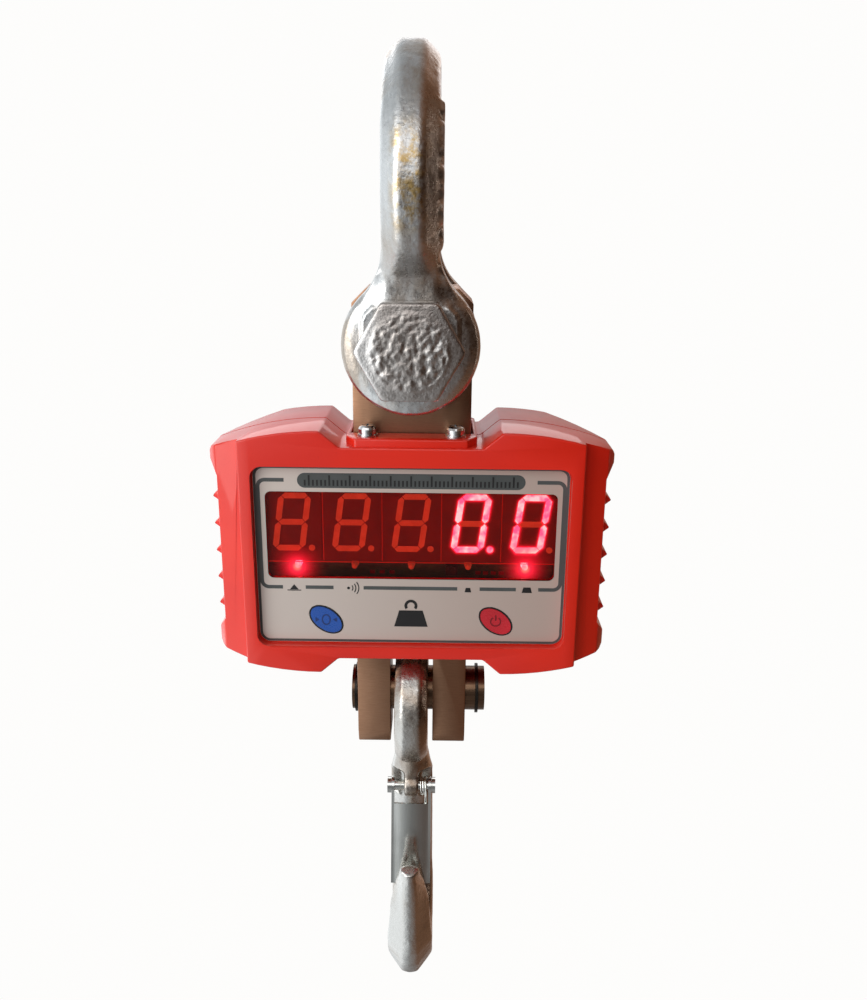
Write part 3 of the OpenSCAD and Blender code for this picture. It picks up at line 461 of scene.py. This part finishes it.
finishes["seal_rubber"] = moulded("seal_rubber", (0.018, 0.018, 0.019), 0.75, 0.5, 0.04)
finishes["black_plastic"] = moulded("black_plastic", (0.02, 0.02, 0.022), 0.4)
finishes["white_plastic"] = moulded("white_plastic", (0.78, 0.76, 0.70), 0.4)
finishes["brass"] = moulded("brass", (0.72, 0.50, 0.20), 0.3, 1.0, 0.01, 1.0)
finishes["battery_film"] = moulded("battery_film", (0.10, 0.22, 0.50), 0.25, 4.0, 0.1, 0.0, Coat_Weight=0.4)
wear("seal_rubber", "casing_gasket", "cover_seals", "door_seal", "signal_cable", "battery_cable")
wear("black_plastic", "key_switches", "infrared_receiver", "charging_socket", "cable_gland")
wear("white_plastic", "board_connectors")
wear("brass", "strain_gauges", "board_standoffs")
wear("battery_film", "battery_pack")


def circuit_board(name):
    """Green solder mask over copper tracks that show as raised, lighter patches."""
    board = Finish(name, (0.02, 0.12, 0.05), 0.3, Coat_Weight=0.5, Coat_Roughness=0.15)
    tracks = board.cells(3.4, (1, 1, 3))
    board.use("Base Color", board.ramp(tracks, [(0.0, (0.012, 0.09, 0.035)), (0.55, (0.03, 0.17, 0.07))]))
    board.bump(tracks, 0.04, 0.5)
    return board.material


finishes["board_mask"] = circuit_board("board_mask")
wear("board_mask", "display_board", "main_board")
print("finishes so far:", len(finishes))

# %% [markdown]
# ## Display colours
# The window is a thin slab of clear red acrylic. Unlit bars show through it as a dull orange, helped by a
# faint painted glow, and lit bars burn out to pink. Emission does both, and a slow noise makes some spots of
# the lit bars hotter than others.

# %% Display finishes
window = Finish("red_window", (0.74, 0.20, 0.17), 0.05, Transmission_Weight=1.0, IOR=1.02, Coat_Weight=0.25)
window.set("Coat Roughness", 0.04)
window.bump(window.noise(14, 2, 0.4), 0.02, 0.2)
finishes["red_window"] = window.material
wear("red_window", "display_window")

housing = Finish("module_maroon", (0.21, 0.028, 0.022), 0.5)
cloud = housing.span(housing.noise(12), 0.3, 0.7)
housing.use("Base Color", housing.blend(cloud, (0.21, 0.028, 0.022), (0.16, 0.022, 0.018)))
housing.bump(housing.noise(0.5), 0.02, 0.5)
finishes["module_maroon"] = housing.material
wear("module_maroon", "digit_housings", "board_parts")

lit = Finish("lit_bars", (1.0, 0.3, 0.4), 0.4)
lit.use("Emission Color", lit.ramp(lit.noise(5.0, 2), [(0.38, (1.0, 0.12, 0.34)), (0.60, (1.0, 0.75, 0.85))]))
lit.set("Emission Strength", 9.0)
finishes["lit_bars"] = lit.material
wear("lit_bars", "lit_segments", "lit_indicators")

dull = Finish("unlit_bars", (0.55, 0.16, 0.06), 0.5)
dull.use("Base Color", dull.blend(dull.span(dull.noise(6), 0.3, 0.7), (0.75, 0.22, 0.08), (0.6, 0.16, 0.05)))
dull.bump(dull.noise(0.6), 0.02, 0.5)
# painted glow: a faint orange emission brightens the unlit bars, though they give no light
dull.set("Emission Color", (1.0, 0.42, 0.22, 1))
dull.set("Emission Strength", 0.16)
finishes["unlit_bars"] = dull.material
wear("unlit_bars", "unlit_segments", "unlit_indicators")
print("display finishes: 4")

# %% [markdown]
# ## Panel film and keys
# The panel is a printed polyester film with a faint metallic warmth. Its colour carries a painted light
# falloff: silver on the left, where the studio is bright, fading to a browner grey towards the right, where
# it is dim. The keys are moulded under a thin clear coat, one blue and one red.

# %% Panel finishes
film = Finish("panel_film", (0.60, 0.57, 0.54), 0.34, 0.25, Coat_Weight=0.3, Coat_Roughness=0.12)
# painted reflection: the film is painted lighter on the left and browner and darker towards the right, as the
# studio's light falls
painted_light_falloff = film.span(film.axis("X"), -0.08, 0.08)
film.use("Base Color", film.blend(painted_light_falloff, (0.66, 0.59, 0.54), (0.55, 0.44, 0.39)))
film.bump(film.noise(0.35, 2, 0.5), 0.008, 0.5)
finishes["panel_film"] = film.material
wear("panel_film", "front_panel")

finishes["key_blue"] = moulded("key_blue", (0.015, 0.09, 0.42), 0.3, 0.4, 0.01, Coat_Weight=0.4)
finishes["key_red"] = moulded("key_red", (0.62, 0.02, 0.035), 0.3, 0.4, 0.01, Coat_Weight=0.4)
wear("key_blue", "zero_button")
wear("key_red", "power_button")
print("panel finishes: 3")

# %% [markdown]
# ## Softened castings
# A casting leaves its mould with every outer edge slightly round, and gloss enamel turns each of these edges
# into a thin bright line. A copy of the piece has its flat triangles merged into whole faces, and then its
# outer edges are bevelled. A ray that leaves each edge and meets nothing tells outer edges from those inside
# the shell, which stay sharp.


# %% Softening tools
FLAT_LIMIT = math.radians(1.0)
SAME_POINT = 0.02 * MM


def merged_copy(node):
    """A bmesh of a CAD piece with doubles merged and flat triangles joined into whole faces."""
    shape = bmesh.new()
    shape.from_mesh(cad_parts[node].data)
    bmesh.ops.remove_doubles(shape, verts=shape.verts, dist=SAME_POINT)
    bmesh.ops.dissolve_limit(
        shape, angle_limit=FLAT_LIMIT, verts=shape.verts, edges=shape.edges, delimit=set()
    )
    return shape


def as_piece(shape, name, finish, body, smooth_degrees=None, replaced=()):
    """Turns a bmesh into a finished piece that rides on a body and stands for its CAD nodes."""
    mesh = bpy.data.meshes.new(name)
    shape.to_mesh(mesh)
    shape.free()
    if "custom_normal" in mesh.attributes:
        mesh.attributes.remove(mesh.attributes["custom_normal"])
    mesh.materials.clear()
    mesh.materials.append(finishes[finish])
    for face in mesh.polygons:
        face.material_index = 0
    if smooth_degrees is None:
        mesh.shade_smooth()
    elif smooth_degrees > 0:
        mesh.shade_smooth()
        mesh.set_sharp_from_angle(angle=math.radians(smooth_degrees))
    else:
        mesh.shade_flat()
    piece = bpy.data.objects.new(name, mesh)
    scene.collection.objects.link(piece)
    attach(piece, body)
    if replaced:
        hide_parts(*replaced)


def soften(shape, round_mm, least_degrees, least_mm, away=(0, 0, 0), segments=3):
    """Bevels the outer edges of a shape, except those whose faces look along the direction away."""
    tree = BVHTree.FromBMesh(shape)
    ray_start = 0.2 * MM
    chosen = []
    for edge in shape.edges:
        if not edge.is_manifold or edge.calc_length() < least_mm * MM:
            continue
        if edge.calc_face_angle(0) < math.radians(least_degrees):
            continue
        facing = (edge.link_faces[0].normal + edge.link_faces[1].normal).normalized()
        if facing.dot(Vector(away)) > 0.3:
            continue
        middle = (edge.verts[0].co + edge.verts[1].co) / 2
        if tree.ray_cast(middle + facing * ray_start, facing)[0] is None:
            chosen.append(edge)
    bmesh.ops.bevel(
        shape, geom=chosen, offset=round_mm * MM, offset_type="OFFSET", segments=segments, profile=0.5,
        affect="EDGES", clamp_overlap=False, material=-1, miter_outer="ARC", loop_slide=True,
    )
    bmesh.ops.remove_doubles(shape, verts=shape.verts, dist=0.01 * MM)
    return len(chosen)


# %% Casing shells, collar and door
for node, name, away, body in (
    ("front_casing", "front_shell", (0, 1, 0), "scale_body"),
    ("rear_casing", "rear_shell", (0, -1, 0), "scale_body"),
    ("top_cover", "collar", (0, 0, -1), "scale_body"),
    ("battery_door", "door_plate", (0, -1, 0), "battery_door"),
):
    shape = merged_copy(node)
    edges = soften(shape, 0.9, 18, 1.2, away)
    as_piece(shape, name, "enamel_red", body, 30, (node,))
    print(name, "edges rounded:", edges)

# %% Load bar
shape = merged_copy("load_cell")
edges = soften(shape, 0.5, 30, 2.0, segments=2)
as_piece(shape, "load_bar", "bar_steel", "scale_body", 30, ("load_cell",))
print("load bar edges rounded:", edges)

# %% [markdown]
# ## Forged skins
# A forging has no crisp corner: the bar melts into the ears, and the zinc leaves shallow lumps. A voxel
# remesh turns the merged CAD piece into an even skin. Smoothing passes round its corners, with more passes
# where a fillet belongs, and noise then pushes each point a little inwards.


# %% Forging tools
def even_skin(node, voxel_mm, add_to=None):
    """A bmesh of the piece, rebuilt in even squares. add_to may put closed lumps on it first."""
    work_mesh = bpy.data.meshes.new("work")
    shape = merged_copy(node)
    if add_to:
        add_to(shape)
        bmesh.ops.recalc_face_normals(shape, faces=shape.faces)
    bmesh.ops.triangulate(shape, faces=shape.faces)
    shape.to_mesh(work_mesh)
    shape.free()
    work = bpy.data.objects.new("work", work_mesh)
    scene.collection.objects.link(work)
    skin = work.modifiers.new("skin", "REMESH")
    skin.mode = "VOXEL"
    skin.voxel_size = voxel_mm * MM
    evaluated = work.evaluated_get(bpy.context.evaluated_depsgraph_get())
    shape = bmesh.new()
    shape.from_mesh(evaluated.to_mesh())
    bpy.data.objects.remove(work)
    return shape


def relax(shape, rounds, zone=None):
    """Smooths the points of a zone, or all of them."""
    chosen = [v for v in shape.verts if zone is None or zone(v.co)]
    every_axis = {"use_axis_x": True, "use_axis_y": True, "use_axis_z": True}
    for _ in range(rounds):
        bmesh.ops.smooth_vert(shape, verts=chosen, factor=0.5, **every_axis)


def hammer(shape, layers):
    """Pushes the points inwards by layers of noise, each with a size and a depth in millimetres."""
    shape.normal_update()
    for vert in shape.verts:
        push = sum(depth * (0.5 + 0.5 * noise.noise(vert.co / (size * MM))) for size, depth in layers)
        vert.co -= vert.normal * push * MM


def clamp(value):
    """The value, kept between 0 and 1."""
    return min(1.0, max(0.0, value))


# %% Shackle bow
BOLT_Z = (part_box("shackle_bolt")[0][2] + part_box("shackle_bolt")[1][2]) / 2
EAR_RADIUS = (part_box("shackle_bow")[1][0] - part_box("shackle_bow")[0][0]) / 2
EAR_FACE, EAR_BACK = -46.0 * MM, -22.5 * MM
LEG_HALF, FLARE = 13.2 * MM, 26 * MM  # half the leg's width and the radius of the hollow beside it
DOME_FROM, DOME_OVER, DOME_FALL = 34 * MM, 12 * MM, 3.2 * MM
BLEND_TOP, BLEND_OVER, BLEND_FACE = 46 * MM, 21 * MM, 45.9 * MM
flare_up = math.sqrt((EAR_RADIUS + FLARE) ** 2 - (LEG_HALF + FLARE) ** 2)
turn_to_ear = math.atan2(flare_up, LEG_HALF + FLARE)
curve = []
for step in range(13):
    angle = math.pi + turn_to_ear * step / 12
    curve.append((LEG_HALF + FLARE + FLARE * math.cos(angle), BOLT_Z + flare_up + FLARE * math.sin(angle)))


def add_flare(shape, near, far):
    """Fills the corner between leg and ear with a wedge that has hollow sides."""
    outline = curve + [(-x, z) for x, z in reversed(curve)]
    face = shape.faces.new([shape.verts.new((x, near, z)) for x, z in outline])
    pushed = bmesh.ops.extrude_face_region(shape, geom=[face])["geom"]
    points = [item for item in pushed if isinstance(item, bmesh.types.BMVert)]
    bmesh.ops.translate(shape, verts=points, vec=(0, far - near, 0))


def add_both_flares(shape):
    """Puts the wedges on the front and the rear ear."""
    add_flare(shape, EAR_FACE, EAR_BACK)
    add_flare(shape, -EAR_BACK, -EAR_FACE)


def beside_ears(co):
    """True where the legs flare out into the ears."""
    return abs(co.z - BOLT_Z - 32 * MM) < 14 * MM


def outer_corner(co):
    """True at the corner between the leg's outer side and the ear's face."""
    return abs(co.z - BOLT_Z - 25 * MM) < 6 * MM and abs(co.y) > 40 * MM


shape = even_skin("shackle_bow", 0.95, add_both_flares)
relax(shape, 2)
for vert in shape.verts:
    fall = clamp((BOLT_Z + BLEND_TOP - vert.co.z) / BLEND_OVER)
    from_bolt = math.hypot(vert.co.x, vert.co.z - BOLT_Z)
    side = math.copysign(1, vert.co.y)
    if from_bolt < EAR_RADIUS + 1 * MM:
        outward = clamp((abs(vert.co.y) - DOME_FROM) / DOME_OVER)
        vert.co.y -= side * DOME_FALL * outward * (from_bolt / EAR_RADIUS) ** 2
    if abs(vert.co.y) > 44 * MM and abs(vert.co.x) < 22 * MM and vert.co.z > BOLT_Z:
        vert.co.y += (side * BLEND_FACE - vert.co.y) * fall * fall * (3 - 2 * fall)
relax(shape, 10, beside_ears)
relax(shape, 20, outer_corner)
hammer(shape, ((14, 0.35), (5, 0.18), (2.4, 0.10)))
as_piece(shape, "forged_bow", "bow_zinc", "shackle", replaced=("shackle_bow",))
print("bow done")

# %% Shackle bolt
shape = even_skin("shackle_bolt", 0.8)
relax(shape, 2)
hammer(shape, ((9, 0.2), (3, 0.08)))
HEAD_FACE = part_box("shackle_bolt")[0][1]
HEAD_RADIUS, HEAD_FALL = 25, 1.3
DISC_RADIUS, DISC_EDGE = 17.2, 1.2
for vert in shape.verts:
    away = math.hypot(vert.co.x, vert.co.z - BOLT_Z) / MM
    if vert.co.y < HEAD_FACE + 3 * MM:
        vert.co.y += HEAD_FALL * MM * (away / HEAD_RADIUS) ** 2
    if vert.co.y < HEAD_FACE + 2 * MM and away < DISC_RADIUS:
        grain = noise.noise(vert.co / (1.7 * MM)) * 0.55 + noise.noise(vert.co / (3.6 * MM)) * 0.5
        vert.co.y += (0.5 + grain * 0.95) * MM * clamp((DISC_RADIUS - away) / DISC_EDGE)
as_piece(shape, "forged_bolt", "bolt_zinc", "shackle", replaced=("shackle_bolt",))
print("bolt done")

# %% Hook
shape = even_skin("hook_body", 1.0)
relax(shape, 4)
BOWL_Z = -434 * MM
SPINE_RADIUS = 34 * MM  # the middle of the bar that the bowl is bent from
CREST, EDGE = 0.32, 1.06  # where the bevel starts and would reach the spine, in half widths
SLICE_DEGREES = 6


def bowl_slice(co):
    """Which slice of the bowl a point is in."""
    return int(math.degrees(math.atan2(co.z - BOWL_Z, co.y)) // SLICE_DEGREES)


def faceted(co):
    """True on the outside of the bowl and tip, where the forging has a flat crest and straight bevels."""
    outside = math.hypot(co.y, co.z - BOWL_Z) > SPINE_RADIUS
    bowl_or_tip = co.z < BOWL_Z or co.y < -10 * MM
    return outside and bowl_or_tip and co.z < BOWL_Z + 45 * MM


widest = {}
for vert in shape.verts:
    if faceted(vert.co):
        key = bowl_slice(vert.co)
        widest[key] = max(widest.get(key, 0), abs(vert.co.x))
for vert in shape.verts:
    if not faceted(vert.co):
        continue
    across = min(1.0, abs(vert.co.x) / widest[bowl_slice(vert.co)])
    oval = math.sqrt(max(0.02, 1 - across * across))
    cut = min(1.0, min(1.0, (EDGE - across) / (EDGE - CREST)) / oval)
    ring = math.hypot(vert.co.y, vert.co.z - BOWL_Z)
    shrink = (SPINE_RADIUS + (ring - SPINE_RADIUS) * (1 - 0.8 * (1 - cut))) / ring
    vert.co.y *= shrink
    vert.co.z = BOWL_Z + (vert.co.z - BOWL_Z) * shrink
relax(shape, 1)
hammer(shape, ((12, 0.3), (4, 0.15), (2, 0.08)))
as_piece(shape, "forged_hook", "hook_zinc", "hook", replaced=("hook_body",))
print("hook done")

# %% Latch
# The latch is bent from bright sheet. It is cut into strips, so that its web can be rounded across a little,
# and more so further down, which gives it the look of a tube.
shape = merged_copy("hook_latch")
LATCH_LOW, LATCH_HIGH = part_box("hook_latch")
LATCH_STRIPS = 16
latch_half = (LATCH_HIGH.x - LATCH_LOW.x) / 2
for step in range(1, LATCH_STRIPS):
    at = LATCH_LOW.x + (LATCH_HIGH.x - LATCH_LOW.x) * step / LATCH_STRIPS
    everything = list(shape.verts) + list(shape.edges) + list(shape.faces)
    bmesh.ops.bisect_plane(shape, geom=everything, plane_co=(at, 0, 0), plane_no=(1, 0, 0), dist=1e-6)
web_top = LATCH_HIGH.z - 13 * MM
web_length = 40 * MM
for vert in shape.verts:
    if vert.co.z < web_top:
        lower = min(1.0, (web_top - vert.co.z) / web_length)
        vert.co.y += (0.3 + 1.7 * lower) * MM * min(abs(vert.co.x) / latch_half, 0.86) ** 2
as_piece(shape, "bent_latch", "latch_steel", "latch", 40, ("hook_latch",))
print("latch done")

# %% [markdown]
# ## Printed panel
# The print on the film is a thin layer of ink. The marks of one ink are drawn flat on one sheet, and the
# sheet is then thickened. All of them are plain signs: a ruler of ticks, weights and small pictures.


# %% Drawing tools
PANEL_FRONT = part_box("front_panel")[0][1]
BORDER_DROP = 1.2  # how far the film's own middle lies below the zero of the print's heights
PANEL_MIDDLE = (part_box("front_panel")[0][2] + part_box("front_panel")[1][2]) / 2 + BORDER_DROP * MM
FACE_ON = Matrix.Rotation(math.radians(90), 4, "X")
CORNERS = ((1, 1, 0), (-1, 1, 90), (-1, -1, 180), (1, -1, 270))  # x side, z side, start of the arc


def put(x, z, turn_degrees=0.0):
    """A matrix that stands a flat drawing up on the panel at x and z millimetres from its middle."""
    place = Matrix.Translation((x * MM, 0, z * MM + PANEL_MIDDLE))
    return place @ Matrix.Rotation(math.radians(-turn_degrees), 4, "Y") @ FACE_ON


def draw_bar(sheet, x, z, width, height, cuts=(1, 1)):
    """A filled rectangle with its middle at x and z, cut into a grid."""
    place = put(x, z) @ Matrix.Diagonal((width * MM, height * MM, 1, 1))
    bmesh.ops.create_grid(sheet, x_segments=cuts[0], y_segments=cuts[1], size=0.5, matrix=place)


def draw_disc(sheet, x, z, radius):
    """A filled disc."""
    place = put(x, z) @ Matrix.Diagonal((radius * MM, radius * MM, 1, 1))
    bmesh.ops.create_circle(sheet, cap_ends=True, segments=20, radius=1.0, matrix=place)


def draw_arc(sheet, x, z, radius, width, start, sweep, squash=1.0, turn_degrees=0.0):
    """A curved band from a start angle through a sweep, both in degrees. squash makes it oval."""
    steps = max(4, int(abs(sweep) / 8))
    place = put(x, z, turn_degrees)
    rim = []
    for step in range(steps + 1):
        angle = math.radians(start + sweep * step / steps)
        pair = []
        for r in (radius - width / 2, radius + width / 2):
            across = r * math.cos(angle)
            along = (radius * squash + r - radius) * math.sin(angle)
            pair.append(sheet.verts.new(place @ Vector((across * MM, along * MM, 0))))
        rim.append(pair)
    for (a, b), (c, d) in zip(rim, rim[1:]):
        sheet.faces.new((a, b, d, c))


def draw_shape(sheet, x, z, corners):
    """A filled shape with straight sides, from its corners in order."""
    sheet.faces.new([sheet.verts.new(put(x, z) @ Vector((u * MM, w * MM, 0))) for u, w in corners])


def ink(sheet, name, finish, front, thick_mm=0.06, body="scale_body"):
    """Thickens a flat drawing into a layer of ink that lies on a surface."""
    bmesh.ops.remove_doubles(sheet, verts=sheet.verts, dist=0.005 * MM)
    bmesh.ops.recalc_face_normals(sheet, faces=sheet.faces)
    for vert in sheet.verts:
        vert.co.y = front - thick_mm * MM
    upper = bmesh.ops.extrude_face_region(sheet, geom=list(sheet.faces))
    raised = [item for item in upper["geom"] if isinstance(item, bmesh.types.BMVert)]
    bmesh.ops.translate(sheet, verts=raised, vec=(0, thick_mm * MM, 0))
    bmesh.ops.recalc_face_normals(sheet, faces=sheet.faces)
    as_piece(sheet, name, finish, body, 0)


print("panel middle is", round(PANEL_MIDDLE / MM, 1), "mm below the crown")

# %% Ink finishes
for name, colour, rough in (
    ("ink_grey", (0.075, 0.085, 0.085), 0.45),
    ("ink_black", (0.012, 0.012, 0.013), 0.4),
    ("ink_navy", (0.010, 0.035, 0.16), 0.4),
    ("ink_maroon", (0.22, 0.006, 0.012), 0.4),
    ("seam_orange", (0.9, 0.10, 0.03), 0.5),
):
    finishes[name] = moulded(name, colour, rough, 0.5, 0.005)
print("inks: 5")

# %% Border and bracket lines
BORDER_LINE = 1.3
border_x, border_z, corner = 76.7, 46.2, 4.6
border = bmesh.new()
for side in (-1, 1):
    draw_bar(border, side * border_x, -BORDER_DROP, BORDER_LINE, 2 * (border_z - corner))
    draw_bar(border, 0, side * border_z - BORDER_DROP, 2 * (border_x - corner), BORDER_LINE)
for x_side, z_side, start in CORNERS:
    x, z = x_side * (border_x - corner), z_side * (border_z - corner) - BORDER_DROP
    draw_arc(border, x, z, corner, BORDER_LINE, start, 90)
ink(border, "panel_border", "ink_grey", PANEL_FRONT)

BRACKET_LINE, BRACKET_CURVE = 1.9, 3.5
reach, high, low = 75.2, 38.4, -18.0
inner = reach - BRACKET_CURVE
brackets = bmesh.new()
for side, top_end in ((-1, 62.3), (1, 61.6)):
    draw_bar(brackets, side * reach, (high + low) / 2, BRACKET_LINE, high - low - 2 * BRACKET_CURVE)
    draw_bar(brackets, side * (inner + top_end) / 2, high, inner - top_end, BRACKET_LINE)
for x_side, z_side, start in CORNERS:
    edge = high if z_side > 0 else low
    z = edge - z_side * BRACKET_CURVE
    draw_arc(brackets, x_side * inner, z, BRACKET_CURVE, BRACKET_LINE, start, 90)
for from_x, to_x in ((-71.7, -64.8), (-53.3, -39.2), (-24.0, 23.4), (34.7, 53.0), (64.3, 71.7)):
    draw_bar(brackets, (from_x + to_x) / 2, low, to_x - from_x, BRACKET_LINE)
ink(brackets, "bracket_lines", "ink_grey", PANEL_FRONT, 0.08)
print("border and brackets drawn")

# %% Ruler strip
RULER_Z = 38.3
strip = bmesh.new()
strip_end, strip_round = 52, 3.8
capsule = []
for side, first in ((1, -90), (-1, 90)):
    for step in range(13):
        angle = math.radians(first + 180 * step / 12)
        capsule.append((side * strip_end + strip_round * math.cos(angle), strip_round * math.sin(angle)))
draw_shape(strip, 0, RULER_Z, capsule)
ink(strip, "ruler_strip", "ink_grey", PANEL_FRONT, 0.05)
ticks = bmesh.new()
TICK_STEP, TICK_WIDE, LONG_TICK, SHORT_TICK = 2.0, 0.9, 5.4, 3.0
for step in range(-26, 27):
    tall = LONG_TICK if step % 5 == 0 else SHORT_TICK
    draw_bar(ticks, step * TICK_STEP, RULER_Z + (tall - LONG_TICK) / 2, TICK_WIDE, tall)
ink(ticks, "ruler_ticks", "ink_black", PANEL_FRONT, 0.12)
print("ruler ticks: 53")

# %% Signs under the window and the weight sign
signs = bmesh.new()
draw_shape(signs, -59.1, -18.0, ((-2.2, -1.3), (2.2, -1.3), (0, 1.5)))
draw_bar(signs, -59.1, -19.7, 7.0, 0.5)
draw_disc(signs, -31.6, -18.2, 0.75)
for ring in (2.2, 3.7, 5.2):
    draw_arc(signs, -31.6, -18.2, ring, 0.55, -38, 76)
draw_shape(signs, 28.8, -18.9, ((-1.7, -0.9), (1.7, -0.9), (1.1, 1.5), (-1.1, 1.5)))
draw_shape(signs, 58.6, -18.9, ((-2.6, -0.9), (2.6, -0.9), (1.8, 2.1), (-1.8, 2.1)))
draw_shape(signs, 0, -34.6, ((-8.6, -4.6), (8.6, -4.6), (6.0, 4.4), (-6.0, 4.4)))
draw_arc(signs, 0, -27.6, 2.6, 1.5, -35, 250)
ink(signs, "panel_signs", "ink_black", PANEL_FRONT)
print("signs drawn")

# %% Keys
KEY_X, KEY_LONG, KEY_SHORT, KEY_TILT = 43.3, 9.0, 5.6, -38
KEY_Z = ((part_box("zero_button")[0][2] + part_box("zero_button")[1][2]) / 2 - PANEL_MIDDLE) / MM
RIM_OUT = 0.55
rim_long = KEY_LONG + RIM_OUT
rim_squash = (KEY_SHORT + RIM_OUT) / rim_long
rims = bmesh.new()
for side in (-1, 1):
    draw_arc(rims, side * KEY_X, KEY_Z, rim_long, 0.7, 0, 360, rim_squash, KEY_TILT)
ink(rims, "key_rims", "ink_black", PANEL_FRONT, 0.1)
KEY_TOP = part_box("zero_button")[0][1]
zero_sign = bmesh.new()
draw_arc(zero_sign, -KEY_X, KEY_Z, 2.0, 0.7, 0, 360, 1.35)
for side in (-1, 1):
    arrow = ((-side * 1.2, 0), (side * 0.9, 1.3), (side * 0.9, -1.3))
    draw_shape(zero_sign, -KEY_X + side * 4.6, KEY_Z, arrow)
ink(zero_sign, "zero_sign", "ink_navy", KEY_TOP, 0.05, "zero_button")
power_sign = bmesh.new()
draw_arc(power_sign, KEY_X, KEY_Z, 2.5, 0.7, 125, 290)
draw_bar(power_sign, KEY_X, KEY_Z + 2.0, 0.7, 3.0)
ink(power_sign, "power_sign", "ink_maroon", KEY_TOP, 0.05, "power_button")
print("key signs drawn at", round(KEY_Z, 1), "mm")

# %% [markdown]
# ## Glow behind the window
# Bright digits bleed into the film in front of them. The film is a fine grid whose points know how far they
# are from the nearest lit bar and lamp, and a material turns that into crimson light that fades out.


# %% Diffuser film
def tree_of(node):
    """A search tree of a CAD piece's faces."""
    source = bmesh.new()
    source.from_mesh(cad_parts[node].data)
    tree = BVHTree.FromBMesh(source)
    source.free()
    return tree


FILM_GAP = 0.12 * MM
FILM_MARGIN = 3
BAR_REACH, LAMP_REACH = 0.8, 5.0
WINDOW_LOW, WINDOW_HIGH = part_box("display_window")
bars_tree, lamps_tree = tree_of("lit_segments"), tree_of("lit_indicators")
film_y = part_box("lit_segments")[0][1] - FILM_GAP
film_w = (WINDOW_HIGH.x - WINDOW_LOW.x) / MM - 2 * FILM_MARGIN
film_h = (WINDOW_HIGH.z - WINDOW_LOW.z) / MM - 2 * FILM_MARGIN
film_mid = ((WINDOW_HIGH.z + WINDOW_LOW.z) / 2 - PANEL_MIDDLE) / MM
sheet = bmesh.new()
draw_bar(sheet, 0, film_mid, film_w, film_h, (200, 66))
glow_layer = sheet.verts.layers.float.new("glow")
for vert in sheet.verts:
    vert.co.y = film_y
    near_bar = bars_tree.find_nearest(vert.co)[3] / MM
    near_lamp = lamps_tree.find_nearest(vert.co)[3] / MM
    vert[glow_layer] = math.exp(-near_bar / BAR_REACH) * 0.8 + math.exp(-near_lamp / LAMP_REACH) * 1.1
film_finish = Finish("diffuser_film", (0.01, 0.0, 0.0), 0.5)
reader = film_finish.tree.nodes.new("ShaderNodeAttribute")
reader.attribute_name = "glow"
nearness = reader.outputs["Fac"]
crimsons = [(0.1, (1.0, 0.0, 0.06)), (0.75, (1.0, 0.06, 0.22)), (0.97, (1.0, 0.6, 0.5))]
film_finish.use("Alpha", film_finish.span(nearness, 0.03, 1.0, 0.0, 0.75))
film_finish.use("Emission Color", film_finish.ramp(nearness, crimsons))
film_finish.set("Emission Strength", 2.8)
finishes["diffuser_film"] = film_finish.material
as_piece(sheet, "diffuser_film", "diffuser_film", "scale_body")
print("film spans", round(film_w), "by", round(film_h), "mm")

# %% Seams between the modules
SEAM_Z, SEAM_TALL = 13.5, 36
seams = bmesh.new()
for x in (-44.1, -14.6, 15.0, 45.0):
    draw_bar(seams, x, SEAM_Z, 0.35, SEAM_TALL)
draw_bar(seams, 0, -5.3, 146, 0.45)
ink(seams, "module_seams", "seam_orange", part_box("digit_housings")[0][1])
print("seams drawn")
